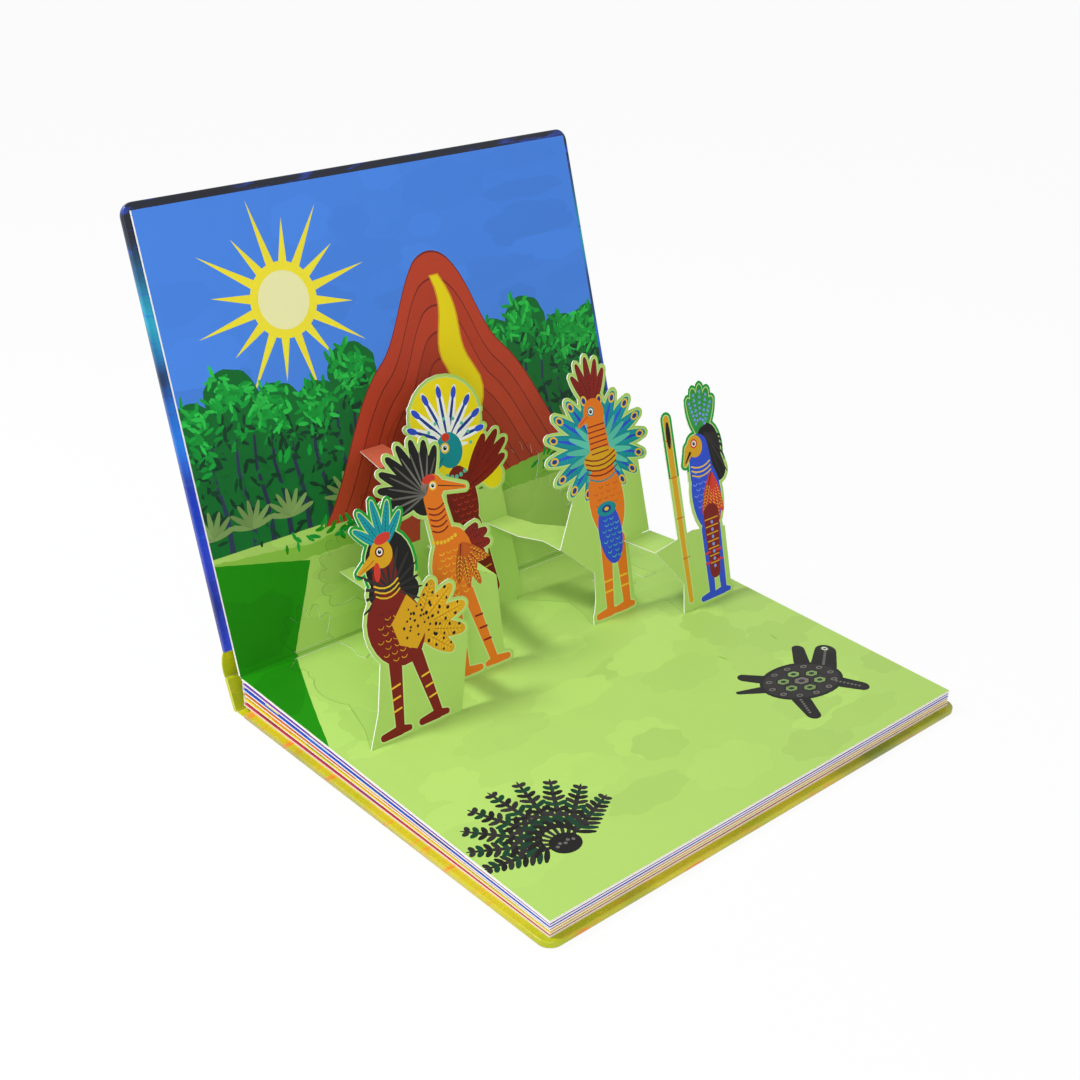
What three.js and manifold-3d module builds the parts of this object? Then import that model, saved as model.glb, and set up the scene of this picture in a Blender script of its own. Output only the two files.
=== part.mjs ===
import * as THREE from "three";
import { mergeVertices } from "three/addons/utils/BufferGeometryUtils.js";
import Module from "manifold-3d";

const wasm = await Module();
wasm.setup();

// A pop-up picture book, open with its front cover leaning back. Millimetres, +Z up.
// X runs along the gutter and Y from the fore-edge to the spine. The origin is the middle of the
// back cover's underside, which lies on z = 0.

// Driving sizes of the book
const PAGE_LENGTH = 240;
const PAGE_WIDTH = 205;
const COVER_THICKNESS = 3;
const COVER_SQUARE = 3.5;
const COVER_CORNER = 6;
const BLOCK_AT_SPINE = 14;
const BLOCK_AT_EDGE = 7.6;
const LEAF_COUNT = 6;
const LEAF_THICKNESS = 0.95;
const SHEET_THICKNESS = 0.35;
const WINDOW_DEPTH = 0.2;
const PRINT_THICKNESS = 0.14;
const CARD_THICKNESS = 0.45;
const OPEN_ANGLE = 108;

// Clearances
const PAPER_GAP = 0.1;
const SEAT_GAP = 0.3;
const FOLD_ALLOWANCE = 0.5;

// Spine and hinges
const SPINE_THICKNESS = 2.4;
const SPINE_LENGTH = 15;
const SPINE_LEAN = 22;
const SPINE_CLEARANCE = 0.5;
const HINGE_PAPER = 0.8;
const REAR_GROOVE = 6;
const FRONT_GROOVE = 12.4;

// White paper left round each cut figure
const BORDER = 1.8;

// Steps in an outline that are shorter than this are left out
const SMALLEST_STEP = 0.03;

// Where a strip that is glued to the upper page stops
const AT_PAGE = -0.6;

const rad = THREE.MathUtils.degToRad;
const COVER_LENGTH = PAGE_LENGTH + 2 * COVER_SQUARE;
const LEAF_BOTTOM = COVER_THICKNESS;
const FOLD_Z = LEAF_BOTTOM + BLOCK_AT_SPINE + FOLD_ALLOWANCE;
const PAGE_DROP = Math.asin((BLOCK_AT_SPINE - BLOCK_AT_EDGE) / PAGE_WIDTH);
const FLAP_ANGLE = rad(180 - OPEN_ANGLE);
const PIVOT_Y = SPINE_CLEARANCE + SPINE_THICKNESS / 2;
const PIVOT_Z = SPINE_THICKNESS / 2;
const GUTTER_Y = (PAGE_WIDTH + COVER_SQUARE) / 2;

const COLOURS = {
  paper: 0xf1efe6,
  grass: 0x9ccb62,
  grassShade: 0x1f7d2b,
  sky: 0x5b86dc,
  sun: 0xf6e23c,
  brick: 0xa8442f,
  path: 0xf4d713,
  trees: 0x1c6b34,
  ink: 0x262522,
  frontCover: 0x1667c4,
  backCover: 0xe8a325,
  spine: 0xb7bd1f,
  teal: 0x1d8a8f,
  blue: 0x3a56c8,
  mane: 0x1f1c1b,
  maroon: 0x7d2722,
  ochre: 0xd9a41c,
  orange: 0xe2791b,
  white: 0xf4f4f0,
  green: 0x2c8a3a,
};

// The book's two page planes. In each, x runs along the gutter, y away from the reader and z up from the page.
// Inside the book's own group the gutter fold is at y = 0.
const part = new THREE.Group();
const book = new THREE.Group();
book.position.y = GUTTER_Y;
part.add(book);
const lowerSpread = new THREE.Group();
lowerSpread.position.set(0, 0, FOLD_Z);
lowerSpread.rotation.x = PAGE_DROP;
const upperSpread = new THREE.Group();
upperSpread.position.set(0, 0, FOLD_Z);
upperSpread.rotation.x = PAGE_DROP + FLAP_ANGLE;
const spineLean = new THREE.Group();
spineLean.position.set(0, PIVOT_Y, PIVOT_Z);
spineLean.rotation.x = -rad(SPINE_LEAN);
book.add(lowerSpread, upperSpread, spineLean);

// Solids from closed geometries

function solidOf(geometry) {
  const bare = geometry.clone();
  bare.deleteAttribute("normal");
  bare.deleteAttribute("uv");
  const merged = mergeVertices(bare, 1e-4);
  return new wasm.Manifold(
    new wasm.Mesh({
      numProp: 3,
      vertProperties: new Float32Array(merged.attributes.position.array),
      triVerts: new Uint32Array(merged.index.array),
    }),
  );
}

function geometryOf(solid) {
  const mesh = solid.simplify(SMALLEST_STEP).getMesh();
  const geometry = new THREE.BufferGeometry();
  geometry.setAttribute("position", new THREE.BufferAttribute(new Float32Array(mesh.vertProperties), 3));
  geometry.setIndex(new THREE.BufferAttribute(new Uint32Array(mesh.triVerts), 1));
  geometry.computeVertexNormals();
  return geometry;
}

function joined(solids) {
  return solids.reduce((whole, next) => whole.add(next));
}

function largestBody(solid) {
  return solid.decompose().reduce((best, body) => (body.volume() > best.volume() ? body : best));
}

function addPiece(parent, name, geometry, colour, roughness = 0.8) {
  const material = new THREE.MeshStandardMaterial({ color: colour, roughness, metalness: 0 });
  const mesh = new THREE.Mesh(geometry, material);
  mesh.name = name;
  parent.add(mesh);
  return mesh;
}

// Flat outlines, each grown outwards by `grow`

function polygon(points) {
  return new THREE.Shape(points.map(([x, y]) => new THREE.Vector2(x, y)));
}

// The same outline, with each of its curves in straight steps
function stepped(shape, steps) {
  return new THREE.Shape(shape.getPoints(steps));
}

function oval(x, y, halfWidth, halfHeight, tilt = 0) {
  return (grow) => {
    const shape = new THREE.Shape();
    shape.absellipse(x, y, halfWidth + grow, halfHeight + grow, 0, 2 * Math.PI, false, rad(tilt));
    return stepped(shape, 8);
  };
}

function limb(x1, y1, x2, y2, radius1, radius2 = radius1) {
  return (grow) => {
    const heading = Math.atan2(y2 - y1, x2 - x1);
    const shape = new THREE.Shape();
    shape.absarc(x1, y1, radius1 + grow, heading + Math.PI / 2, heading - Math.PI / 2, false);
    shape.absarc(x2, y2, radius2 + grow, heading - Math.PI / 2, heading + Math.PI / 2, false);
    return stepped(shape, 3);
  };
}

function feather(x, y, length, width, angle) {
  return (grow) => {
    const turn = rad(angle);
    const at = (along, across) => [
      x + along * Math.sin(turn) + across * Math.cos(turn),
      y + along * Math.cos(turn) - across * Math.sin(turn),
    ];
    const half = width / 2 + grow;
    const tip = length + grow;
    const shape = new THREE.Shape();
    shape.moveTo(...at(-grow, -half * 0.35));
    shape.quadraticCurveTo(...at(length * 0.45, -half * 1.5), ...at(tip * 0.93, -half * 0.5));
    shape.quadraticCurveTo(...at(tip * 1.04, 0), ...at(tip * 0.93, half * 0.5));
    shape.quadraticCurveTo(...at(length * 0.45, half * 1.5), ...at(-grow, half * 0.35));
    return stepped(shape, 3);
  };
}

function feathers(count, x, y, length, width, firstAngle, lastAngle) {
  return Array.from({ length: count }, (_, i) => {
    const share = count > 1 ? i / (count - 1) : 0.5;
    const reach = length * (0.82 + 0.18 * Math.sin(share * Math.PI));
    return feather(x, y, reach, width, firstAngle + share * (lastAngle - firstAngle));
  });
}

function patch(points) {
  return () => polygon(points);
}

function plate(shape, thickness, curveSegments = 6) {
  return solidOf(new THREE.ExtrudeGeometry(shape, { depth: thickness, bevelEnabled: false, curveSegments }));
}

function flatSolid(outlines, thickness, grow = 0) {
  return joined(outlines.map((outline) => plate(outline(grow), thickness)));
}

// Covers, spine and hinge papers

function coverBoard(fromY, toY) {
  const ease = 0.4;
  const outwards = Math.sign(toY - fromY);
  const x = COVER_LENGTH / 2 - ease;
  const near = fromY + outwards * ease;
  const far = toY - outwards * ease;
  const corner = COVER_CORNER - ease;
  const shape = new THREE.Shape();
  shape.moveTo(-x, near);
  shape.lineTo(-x, far - outwards * corner);
  shape.quadraticCurveTo(-x, far, -x + corner, far);
  shape.lineTo(x - corner, far);
  shape.quadraticCurveTo(x, far, x, far - outwards * corner);
  shape.lineTo(x, near);
  shape.closePath();
  const board = new THREE.ExtrudeGeometry(shape, {
    depth: COVER_THICKNESS - 2 * ease,
    bevelEnabled: true,
    bevelThickness: ease,
    bevelSize: ease,
    bevelSegments: 1,
    curveSegments: 3,
  });
  return solidOf(board.translate(0, 0, ease));
}

// Profiles drawn in the plane across the gutter, as [y, z], and run along the book's length
function alongBook(points, length) {
  const toBook = new THREE.Matrix4().makeBasis(
    new THREE.Vector3(0, 1, 0),
    new THREE.Vector3(0, 0, 1),
    new THREE.Vector3(1, 0, 0),
  );
  const geometry = new THREE.ExtrudeGeometry(polygon(points), { depth: length, bevelEnabled: false });
  return geometry.applyMatrix4(toBook).translate(-length / 2, 0, 0);
}

function backCover() {
  const foreEdge = -(PAGE_WIDTH * Math.cos(PAGE_DROP) + COVER_SQUARE);
  const board = coverBoard(-REAR_GROOVE, foreEdge);
  const tongueEnd = SPINE_CLEARANCE - SEAT_GAP;
  const tongue = new THREE.BoxGeometry(COVER_LENGTH - 1, tongueEnd + REAR_GROOVE + 1, HINGE_PAPER);
  tongue.translate(0, (tongueEnd - REAR_GROOVE - 1) / 2, HINGE_PAPER / 2);
  return geometryOf(board.add(solidOf(tongue)));
}

function spineBoard() {
  const half = SPINE_THICKNESS / 2;
  const round = Array.from({ length: 9 }, (_, i) => {
    const angle = Math.PI + (i / 8) * Math.PI;
    return [half * Math.cos(angle), half * Math.sin(angle)];
  });
  const top = [
    [half, SPINE_LENGTH - 0.6],
    [half - 0.6, SPINE_LENGTH],
    [-half + 0.6, SPINE_LENGTH],
    [-half, SPINE_LENGTH - 0.6],
  ];
  return alongBook([...round, ...top], COVER_LENGTH);
}

function inUpperSpread(y, z) {
  const turn = PAGE_DROP + FLAP_ANGLE;
  return [y * Math.cos(turn) - z * Math.sin(turn), FOLD_Z + y * Math.sin(turn) + z * Math.cos(turn)];
}

const UPPER_LEAF_BACK = -(FOLD_ALLOWANCE + SHEET_THICKNESS + PAPER_GAP + LEAF_THICKNESS);
const FRONT_COVER_BACK = UPPER_LEAF_BACK - SEAT_GAP - COVER_THICKNESS;

function frontHingeStrip() {
  const lean = rad(SPINE_LEAN);
  const reach = SPINE_LENGTH + SEAT_GAP;
  const half = SPINE_THICKNESS / 2;
  const foot = [
    PIVOT_Y + reach * Math.sin(lean) + half * Math.cos(lean),
    PIVOT_Z + reach * Math.cos(lean) - half * Math.sin(lean),
  ];
  const head = inUpperSpread(FRONT_GROOVE - SEAT_GAP, FRONT_COVER_BACK + 0.2);
  const knee = [foot[0] + 2.3, (foot[1] + head[1]) / 2 - 0.4];
  const outer = [foot, knee, head];
  const inner = outer.map(([y, z], i) => (i === 1 ? [y - HINGE_PAPER * 1.15, z] : [y - HINGE_PAPER, z + 0.1 * (1 - i)]));
  return alongBook([...outer, ...inner.reverse()], COVER_LENGTH);
}

// The closed spreads under the open one: leaves that part at the fore-edge and are joined by their folds

function pageBlock() {
  const leafTop = (i, share) => {
    const stack = BLOCK_AT_SPINE + (BLOCK_AT_EDGE - BLOCK_AT_SPINE) * share;
    const free = stack - SHEET_THICKNESS - PAPER_GAP - LEAF_THICKNESS;
    return LEAF_BOTTOM + LEAF_THICKNESS + (free * i) / (LEAF_COUNT - 1);
  };
  const spineY = -SEAT_GAP / 2;
  const foldY = spineY - 0.6;
  const foreY = -PAGE_WIDTH * Math.cos(PAGE_DROP);
  const foldShare = foldY / foreY;
  const points = [[spineY, LEAF_BOTTOM]];
  for (let i = 0; i < LEAF_COUNT; i += 1) {
    points.push([spineY, leafTop(i, 0) - 0.3]);
  }
  points.push([spineY - 0.3, leafTop(LEAF_COUNT - 1, 0)]);
  for (let i = LEAF_COUNT - 1; i > 0; i -= 1) {
    points.push([foreY, leafTop(i, 1)]);
    points.push([foreY, leafTop(i, 1) - LEAF_THICKNESS]);
    points.push([foldY, leafTop(i, foldShare) - LEAF_THICKNESS]);
    points.push([foldY, leafTop(i - 1, foldShare)]);
  }
  points.push([foreY, leafTop(0, 1)]);
  points.push([foreY, LEAF_BOTTOM]);
  return alongBook(points, PAGE_LENGTH);
}

// Pop-up figures, five birds. Each is drawn upright on its card: x along the gutter, y up the card from its foot.
// `base` is the plain card round its legs, `strip` the flat part that carries it, seen from above,
// and `prints` are its fields of colour from the lowest up.

function leg(hipX, hipY, footX, toeX, radius) {
  return [
    limb(hipX, hipY, footX, 5, radius * 1.5, radius),
    limb(footX, 3.4, toeX, 2.8, radius, radius * 0.7),
    limb(footX, 3.4, footX + (footX - toeX) * 0.5, 2.8, radius * 0.9, radius * 0.6),
  ];
}

const BIRDS = [
  {
    name: "rooster",
    footY: -81,
    stripHeight: 31,
    strip: [[-60.5, -81], [-49.5, -81], [-50, -60], [-52, AT_PAGE], [-60, AT_PAGE], [-61, -50]],
    base: patch([[-108, 0], [-60, 0], [-49.5, 31], [-60, 36], [-70, 40], [-94, 38], [-101, 14]]),
    prints: [
      ["rooster_tail", COLOURS.ochre, [...feathers(5, -74, 42, 27, 8, 34, 132), limb(-82, 44, -72, 42, 7)]],
      ["rooster_mane", COLOURS.mane, [oval(-81, 72, 12, 15), limb(-88, 62, -75, 60, 6)]],
      ["rooster_crest", COLOURS.teal, feathers(5, -82, 80, 21, 3.8, -50, 40)],
      [
        "rooster_body",
        COLOURS.maroon,
        [
          oval(-84, 46, 14, 17, 14),
          limb(-85, 58, -84, 76, 7, 5.6),
          ...leg(-88, 32, -92, -101, 2.2),
          ...leg(-77, 32, -72, -81, 2.2),
        ],
      ],
      ["rooster_face", COLOURS.ochre, [oval(-84, 78, 5.6, 6), limb(-88, 77, -96, 73, 2.6, 0.9)]],
    ],
  },
  {
    name: "crane",
    footY: -63,
    stripHeight: 40.5,
    strip: [[-28.3, -63], [-16, -63], [-15, -49], [-9.5, -26], [-9, -21.4], [-23, -21.4], [-26, -40]],
    base: patch([[-50, 0], [-20, 0], [-16, 40.5], [-26, 46], [-46, 42]]),
    prints: [
      ["crane_crown", COLOURS.mane, [...feathers(9, -45, 86, 27, 5.6, -104, 26), oval(-46, 86, 8, 9)]],
      ["crane_tail", COLOURS.maroon, [...feathers(4, -34, 58, 19, 6.4, 58, 112), limb(-40, 56, -32, 56, 5)]],
      [
        "crane_body",
        COLOURS.orange,
        [
          oval(-38, 52, 11.5, 17, -14),
          limb(-40, 64, -42, 84, 5.6, 4.8),
          oval(-41, 88, 6, 6),
          limb(-37, 88, -24, 84, 2.6, 0.9),
          ...leg(-41, 38, -42, -34, 2.1),
          ...leg(-33, 38, -26, -18, 2.1),
        ],
      ],
    ],
  },
  {
    name: "cockatoo",
    footY: -21,
    stripHeight: 82,
    strip: [[-40, -21], [-23, -21], [-23, AT_PAGE], [-36, AT_PAGE]],
    base: patch([[-41, 0], [27, 0], [26, 56], [-10, 60], [-22, 82], [-40, 82]]),
    prints: [
      [
        "cockatoo_ground",
        COLOURS.path,
        [oval(1, 95, 20, 19), limb(8, 86, 22, 62, 12, 6), limb(-14, 84, 4, 70, 8, 10)],
      ],
      ["cockatoo_crest", COLOURS.white, feathers(9, 0, 84, 28, 4.6, -84, 84)],
      [
        "cockatoo_body",
        COLOURS.maroon,
        [
          oval(2, 55, 9, 17),
          ...feathers(4, 6, 60, 34, 6.6, 34, 68),
          limb(4, 42, 11, 10, 6.4, 3),
        ],
      ],
      ["cockatoo_head", COLOURS.teal, [oval(0, 80, 7.5, 8.5), limb(-4, 78, -11, 73, 3, 1.2)]],
    ],
  },
  {
    name: "peacock",
    footY: -64,
    stripHeight: 41,
    strip: [[22, -64], [40, -64], [41, -48], [31, -37], [26, -21.4], [13, -21.4], [16, -41], [22, -52]],
    base: patch([
      [34, 0], [62, 0], [64, 34], [78.5, 34.5], [79, 72], [60, 78], [40, 70], [22, 41], [31, 33], [40, 24], [38, 12],
    ]),
    prints: [
      [
        "peacock_fan",
        COLOURS.teal,
        [...feathers(8, 56, 82, 33, 7, -150, -12), ...feathers(8, 56, 82, 31, 7, 150, 12), oval(56, 84, 14, 20)],
      ],
      ["peacock_crest", COLOURS.maroon, feathers(5, 56, 100, 25, 4.6, -30, 30)],
      [
        "peacock_body",
        COLOURS.orange,
        [
          oval(55, 56, 11, 19),
          limb(56, 66, 56, 94, 7, 5.4),
          oval(56, 98, 6.4, 7),
          limb(52, 97, 46, 94, 2.2, 0.9),
          ...leg(50, 36, 46, 38, 2.3),
          ...leg(59, 36, 57, 50, 2.3),
        ],
      ],
      ["peacock_apron", COLOURS.blue, [oval(54, 40, 7.4, 15)]],
    ],
  },
  {
    name: "macaw",
    footY: -83,
    stripHeight: 34.3,
    strip: [[64, -83], [81.5, -83], [78.5, -64.4], [61.2, -64.4]],
    base: patch([[76, 0], [110, 0], [112, 34], [90, 38], [64, 34.3], [72, 24], [79, 14]]),
    prints: [
      ["macaw_crest", COLOURS.green, feathers(5, 105, 80, 26, 6.4, -14, 32)],
      ["macaw_mane", COLOURS.mane, [oval(110, 74, 7, 12), limb(108, 80, 113, 62, 5.4)]],
      [
        "macaw_body",
        COLOURS.blue,
        [
          oval(103, 52, 10, 18),
          limb(102, 62, 102, 76, 8, 6.6),
          ...leg(99, 36, 97, 90, 2),
          ...leg(106, 36, 105, 98, 2),
        ],
      ],
      ["macaw_face", COLOURS.ochre, [oval(100, 77, 5, 5.4), limb(96, 76, 92, 70, 3, 1.1)]],
      ["macaw_reed", COLOURS.ochre, [limb(84, 94, 82, 5, 1.8, 1.4)]],
      ["macaw_tail", COLOURS.maroon, [limb(104, 42, 101, 14, 5.4, 3.4)]],
    ],
  },
];

function figureSolid(bird, thickness) {
  const printed = bird.prints.flatMap(([, , outlines]) => outlines);
  const grown = flatSolid(printed, thickness, BORDER);
  const whole = grown.add(plate(bird.base(), thickness));
  const halfSpace = solidOf(new THREE.BoxGeometry(400, 300, 40).translate(0, 150, 0));
  return largestBody(whole.intersect(halfSpace));
}

// Stands a flat figure on its foot line in the lower spread's frame
function standing(solid, bird) {
  const geometry = geometryOf(solid).rotateX(FLAP_ANGLE);
  return geometry.translate(0, bird.footY, -FOLD_ALLOWANCE);
}

function popUpCard(bird) {
  const figure = figureSolid(bird, CARD_THICKNESS);
  const lift = SEAT_GAP / Math.sin(FLAP_ANGLE);
  const upright = solidOf(standing(figure.translate([0, lift, -CARD_THICKNESS]), bird));
  const height = bird.stripHeight;
  const shiftY = height * Math.cos(FLAP_ANGLE);
  const strip = plate(polygon(bird.strip), CARD_THICKNESS);
  const raised = strip.translate([0, shiftY, height * Math.sin(FLAP_ANGLE) - CARD_THICKNESS - FOLD_ALLOWANCE]);
  return { figure, card: upright.add(raised) };
}

const figures = BIRDS.map((bird) => ({ bird, ...popUpCard(bird) }));

// A strip stops short of the card it is glued to, and the cards behind are notched where one passes
function withoutNeighbours(index) {
  let card = figures[index].card;
  figures.slice(0, index).forEach((other) => {
    const grown = other.card;
    const shifts = [[0, 0, 0], [0, SEAT_GAP, 0], [0, -SEAT_GAP, 0], [0, 0, SEAT_GAP], [0, 0, -SEAT_GAP]];
    shifts.forEach((shift) => {
      card = card.subtract(grown.translate(shift));
    });
  });
  return largestBody(card);
}

figures.forEach(({ bird, figure }, index) => {
  addPiece(lowerSpread, `${bird.name}_card`, geometryOf(withoutNeighbours(index)), COLOURS.grass);
  bird.prints.forEach(([name, colour, outlines], layer) => {
    const above = bird.prints.slice(layer + 1).flatMap(([, , higher]) => higher);
    let ink = flatSolid(outlines, PRINT_THICKNESS);
    if (above.length > 0) {
      const cutter = flatSolid(above, PRINT_THICKNESS * 3).translate([0, 0, -PRINT_THICKNESS]);
      ink = ink.subtract(cutter);
    }
    const cut = figures.slice(0, index).reduce((left, other) => {
      const through = solidOf(geometryOf(other.card).translate(0, -bird.footY, FOLD_ALLOWANCE).rotateX(-FLAP_ANGLE));
      return left.subtract(through);
    }, ink.translate([0, SEAT_GAP, PAPER_GAP]));
    addPiece(lowerSpread, name, standing(largestBody(cut), bird), colour);
  });
});

// The printed sheet of the open spread, with the shallow windows that the figures were cut from

function sheet(side) {
  const start = SEAT_GAP / 2;
  const y = side * (start + (PAGE_WIDTH - start) / 2);
  const blank = new THREE.BoxGeometry(PAGE_LENGTH, PAGE_WIDTH - start, SHEET_THICKNESS).translate(0, y, 0);
  const bottom = -FOLD_ALLOWANCE - SHEET_THICKNESS;
  const whole = solidOf(blank.translate(0, 0, bottom + SHEET_THICKNESS / 2));
  return figures.reduce((left, { bird, figure }) => {
    if (side > 0 && bird.name === "macaw") {
      return left;
    }
    const window = figure.scale([1, 1, 2]).translate([0, bird.footY, -FOLD_ALLOWANCE - WINDOW_DEPTH]);
    const inside = solidOf(new THREE.BoxGeometry(PAGE_LENGTH - 4, PAGE_WIDTH, 9).translate(0, side * (PAGE_WIDTH / 2 + 1.5), 0));
    return left.subtract(window.intersect(inside));
  }, whole);
}

function upperLeaf() {
  const start = SEAT_GAP / 2;
  const leaf = new THREE.BoxGeometry(PAGE_LENGTH, PAGE_WIDTH - start, LEAF_THICKNESS);
  return leaf.translate(0, (PAGE_WIDTH + start) / 2, UPPER_LEAF_BACK + LEAF_THICKNESS / 2);
}

// The picture on the upper page: sky and sun, a layered hill with a path, and trees on both sides

const UPPER_EDGE = PAGE_WIDTH - 0.4;
const SIDE_EDGE = PAGE_LENGTH / 2 - 0.4;
const SUN = { x: -58, y: 158, radius: 13, rays: 22 };

function sunOutline() {
  const points = [];
  for (let i = 0; i < SUN.rays; i += 1) {
    const heading = ((i + 0.5) / SUN.rays) * 2 * Math.PI;
    const toSide = (Math.cos(heading) > 0 ? SIDE_EDGE - SUN.x : SIDE_EDGE + SUN.x) / Math.abs(Math.cos(heading));
    const toEdge = (Math.sin(heading) > 0 ? UPPER_EDGE - SUN.y : SUN.y - 96) / Math.abs(Math.sin(heading));
    const reach = Math.min(toSide, toEdge, 125) - 5;
    const halfRay = (0.24 * Math.PI) / SUN.rays;
    const waist = SUN.radius;
    points.push([SUN.x + waist * Math.cos(heading - halfRay * 3.2), SUN.y + waist * Math.sin(heading - halfRay * 3.2)]);
    points.push([SUN.x + reach * Math.cos(heading - halfRay), SUN.y + reach * Math.sin(heading - halfRay)]);
    points.push([SUN.x + reach * Math.cos(heading + halfRay), SUN.y + reach * Math.sin(heading + halfRay)]);
    points.push([SUN.x + waist * Math.cos(heading + halfRay * 3.2), SUN.y + waist * Math.sin(heading + halfRay * 3.2)]);
  }
  return points;
}

function hillShape() {
  const shape = new THREE.Shape();
  shape.moveTo(-62, 52);
  shape.bezierCurveTo(-44, 70, -34, 104, -14, 118);
  shape.bezierCurveTo(-4, 126, 4, 150, 14, 160);
  shape.quadraticCurveTo(24, 168, 34, 159);
  shape.bezierCurveTo(46, 146, 46, 124, 58, 112);
  shape.bezierCurveTo(72, 98, 78, 72, 92, 50);
  shape.closePath();
  return shape;
}

function pathShape() {
  const shape = new THREE.Shape();
  shape.moveTo(-6, 52);
  shape.bezierCurveTo(-12, 76, 34, 88, 22, 108);
  shape.bezierCurveTo(14, 122, 30, 132, 22, 152);
  shape.lineTo(27, 152);
  shape.bezierCurveTo(40, 130, 28, 122, 38, 106);
  shape.bezierCurveTo(52, 84, 20, 76, 26, 52);
  shape.closePath();
  return shape;
}

function treeLine(fromX, toX, crowns) {
  const span = (toX - fromX) / crowns;
  const ground = patch([[fromX, 54], [toX, 54], [toX, 112], [fromX, 112]]);
  const canopy = Array.from({ length: crowns }, (_, i) => {
    const height = 112 + 8 * Math.sin(1.9 * i + fromX);
    return oval(fromX + span * (i + 0.5), height, span * 0.62, 13);
  });
  return [ground, ...canopy];
}

const pageArea = plate(
  polygon([[-SIDE_EDGE, 2], [SIDE_EDGE, 2], [SIDE_EDGE, UPPER_EDGE], [-SIDE_EDGE, UPPER_EDGE]]),
  PRINT_THICKNESS,
);
const tall = 3 * PRINT_THICKNESS;
const lowered = (solid) => solid.translate([0, 0, -PRINT_THICKNESS]);

const backdrop = [
  ["sky_print", COLOURS.sky, [patch([[-130, 90], [130, 90], [130, 210], [-130, 210]])(0)]],
  ["sun_print", COLOURS.sun, [polygon(sunOutline())]],
  ["left_trees_print", COLOURS.trees, treeLine(-126, -20, 5).map((outline) => outline(0))],
  ["right_trees_print", COLOURS.trees, treeLine(44, 126, 4).map((outline) => outline(0))],
  ["hill_print", COLOURS.brick, [hillShape()]],
  ["hill_path_print", COLOURS.path, [pathShape()]],
  ["upper_shade_print", COLOURS.grassShade, [patch([[-130, 1], [-84, 1], [-72, 22], [-74, 40], [-130, 50]])(0)]],
];

backdrop.forEach(([name, colour, shapes], layer) => {
  let ink = joined(shapes.map((shape) => plate(shape, PRINT_THICKNESS, 10))).intersect(pageArea);
  backdrop.slice(layer + 1).forEach(([, , higher]) => {
    ink = ink.subtract(lowered(joined(higher.map((shape) => plate(shape, tall, 10)))));
  });
  ink = largestBody(ink).translate([0, 0, PAPER_GAP - FOLD_ALLOWANCE]);
  addPiece(upperSpread, name, geometryOf(ink), colour);
});

// The picture on the lower page: a shaded bank by the gutter, a tortoise and a spray of fern

const groundPrints = [
  [
    "lower_shade_print",
    COLOURS.grassShade,
    [patch([[-119.6, -2], [-93, -2], [-97, -22], [-104, -34], [-108, -60], [-119.6, -72]])],
  ],
  [
    "tortoise_print",
    COLOURS.ink,
    [
      oval(74, -158, 21, 14, -12),
      limb(92, -156, 103, -148, 6, 5),
      limb(86, -168, 92, -178, 4.4, 3.4),
      limb(62, -168, 57, -179, 4.4, 3.4),
      limb(54, -152, 44, -147, 2.6, 1.2),
      limb(86, -148, 94, -139, 3.8, 3),
    ],
  ],
  [
    "fern_print",
    COLOURS.ink,
    [
      ...feathers(9, -86, -176, 44, 9, -78, 70),
      oval(-86, -176, 7, 6),
    ],
  ],
];

groundPrints.forEach(([name, colour, outlines]) => {
  const ink = largestBody(flatSolid(outlines, PRINT_THICKNESS)).translate([0, 0, PAPER_GAP - FOLD_ALLOWANCE]);
  addPiece(lowerSpread, name, geometryOf(ink), colour);
});

addPiece(book, "back_cover", backCover(), COLOURS.backCover, 0.35);
addPiece(book, "page_block", pageBlock(), COLOURS.paper);
addPiece(lowerSpread, "lower_sheet", geometryOf(sheet(-1)), COLOURS.grass);
addPiece(upperSpread, "upper_sheet", geometryOf(sheet(1)), COLOURS.grass);
addPiece(upperSpread, "upper_page", upperLeaf(), COLOURS.paper);
const frontCover = coverBoard(FRONT_GROOVE, PAGE_WIDTH + COVER_SQUARE).translate([0, 0, FRONT_COVER_BACK]);
addPiece(upperSpread, "front_cover", geometryOf(frontCover), COLOURS.frontCover, 0.35);
addPiece(spineLean, "spine_board", spineBoard(), COLOURS.spine, 0.35);
addPiece(book, "front_hinge_strip", frontHingeStrip(), COLOURS.spine, 0.4);

export default part;
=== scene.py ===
import logging
import math
import random
from dataclasses import dataclass, field
from enum import Enum
from typing import Callable, Sequence

import bmesh
import bpy
import numpy as np
from mathutils import Matrix, Vector
from mathutils.geometry import delaunay_2d_cdt


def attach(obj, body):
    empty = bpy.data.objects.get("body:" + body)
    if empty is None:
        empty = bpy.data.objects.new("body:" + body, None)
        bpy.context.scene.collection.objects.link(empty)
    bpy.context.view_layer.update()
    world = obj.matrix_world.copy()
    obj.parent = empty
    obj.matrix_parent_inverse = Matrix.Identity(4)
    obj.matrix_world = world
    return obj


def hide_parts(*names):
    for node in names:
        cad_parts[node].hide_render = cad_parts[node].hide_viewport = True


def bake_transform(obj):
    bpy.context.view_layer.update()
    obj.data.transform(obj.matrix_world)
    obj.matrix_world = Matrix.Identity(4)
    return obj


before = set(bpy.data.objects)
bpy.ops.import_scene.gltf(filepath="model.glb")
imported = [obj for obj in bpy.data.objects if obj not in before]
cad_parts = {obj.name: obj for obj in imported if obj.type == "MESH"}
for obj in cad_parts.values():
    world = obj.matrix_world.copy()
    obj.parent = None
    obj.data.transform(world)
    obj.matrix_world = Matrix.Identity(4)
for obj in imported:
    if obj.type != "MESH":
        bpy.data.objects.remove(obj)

logging.basicConfig(level=logging.INFO, format="%(levelname)s %(message)s")
LOG = logging.getLogger("pop_up_book")

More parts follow.
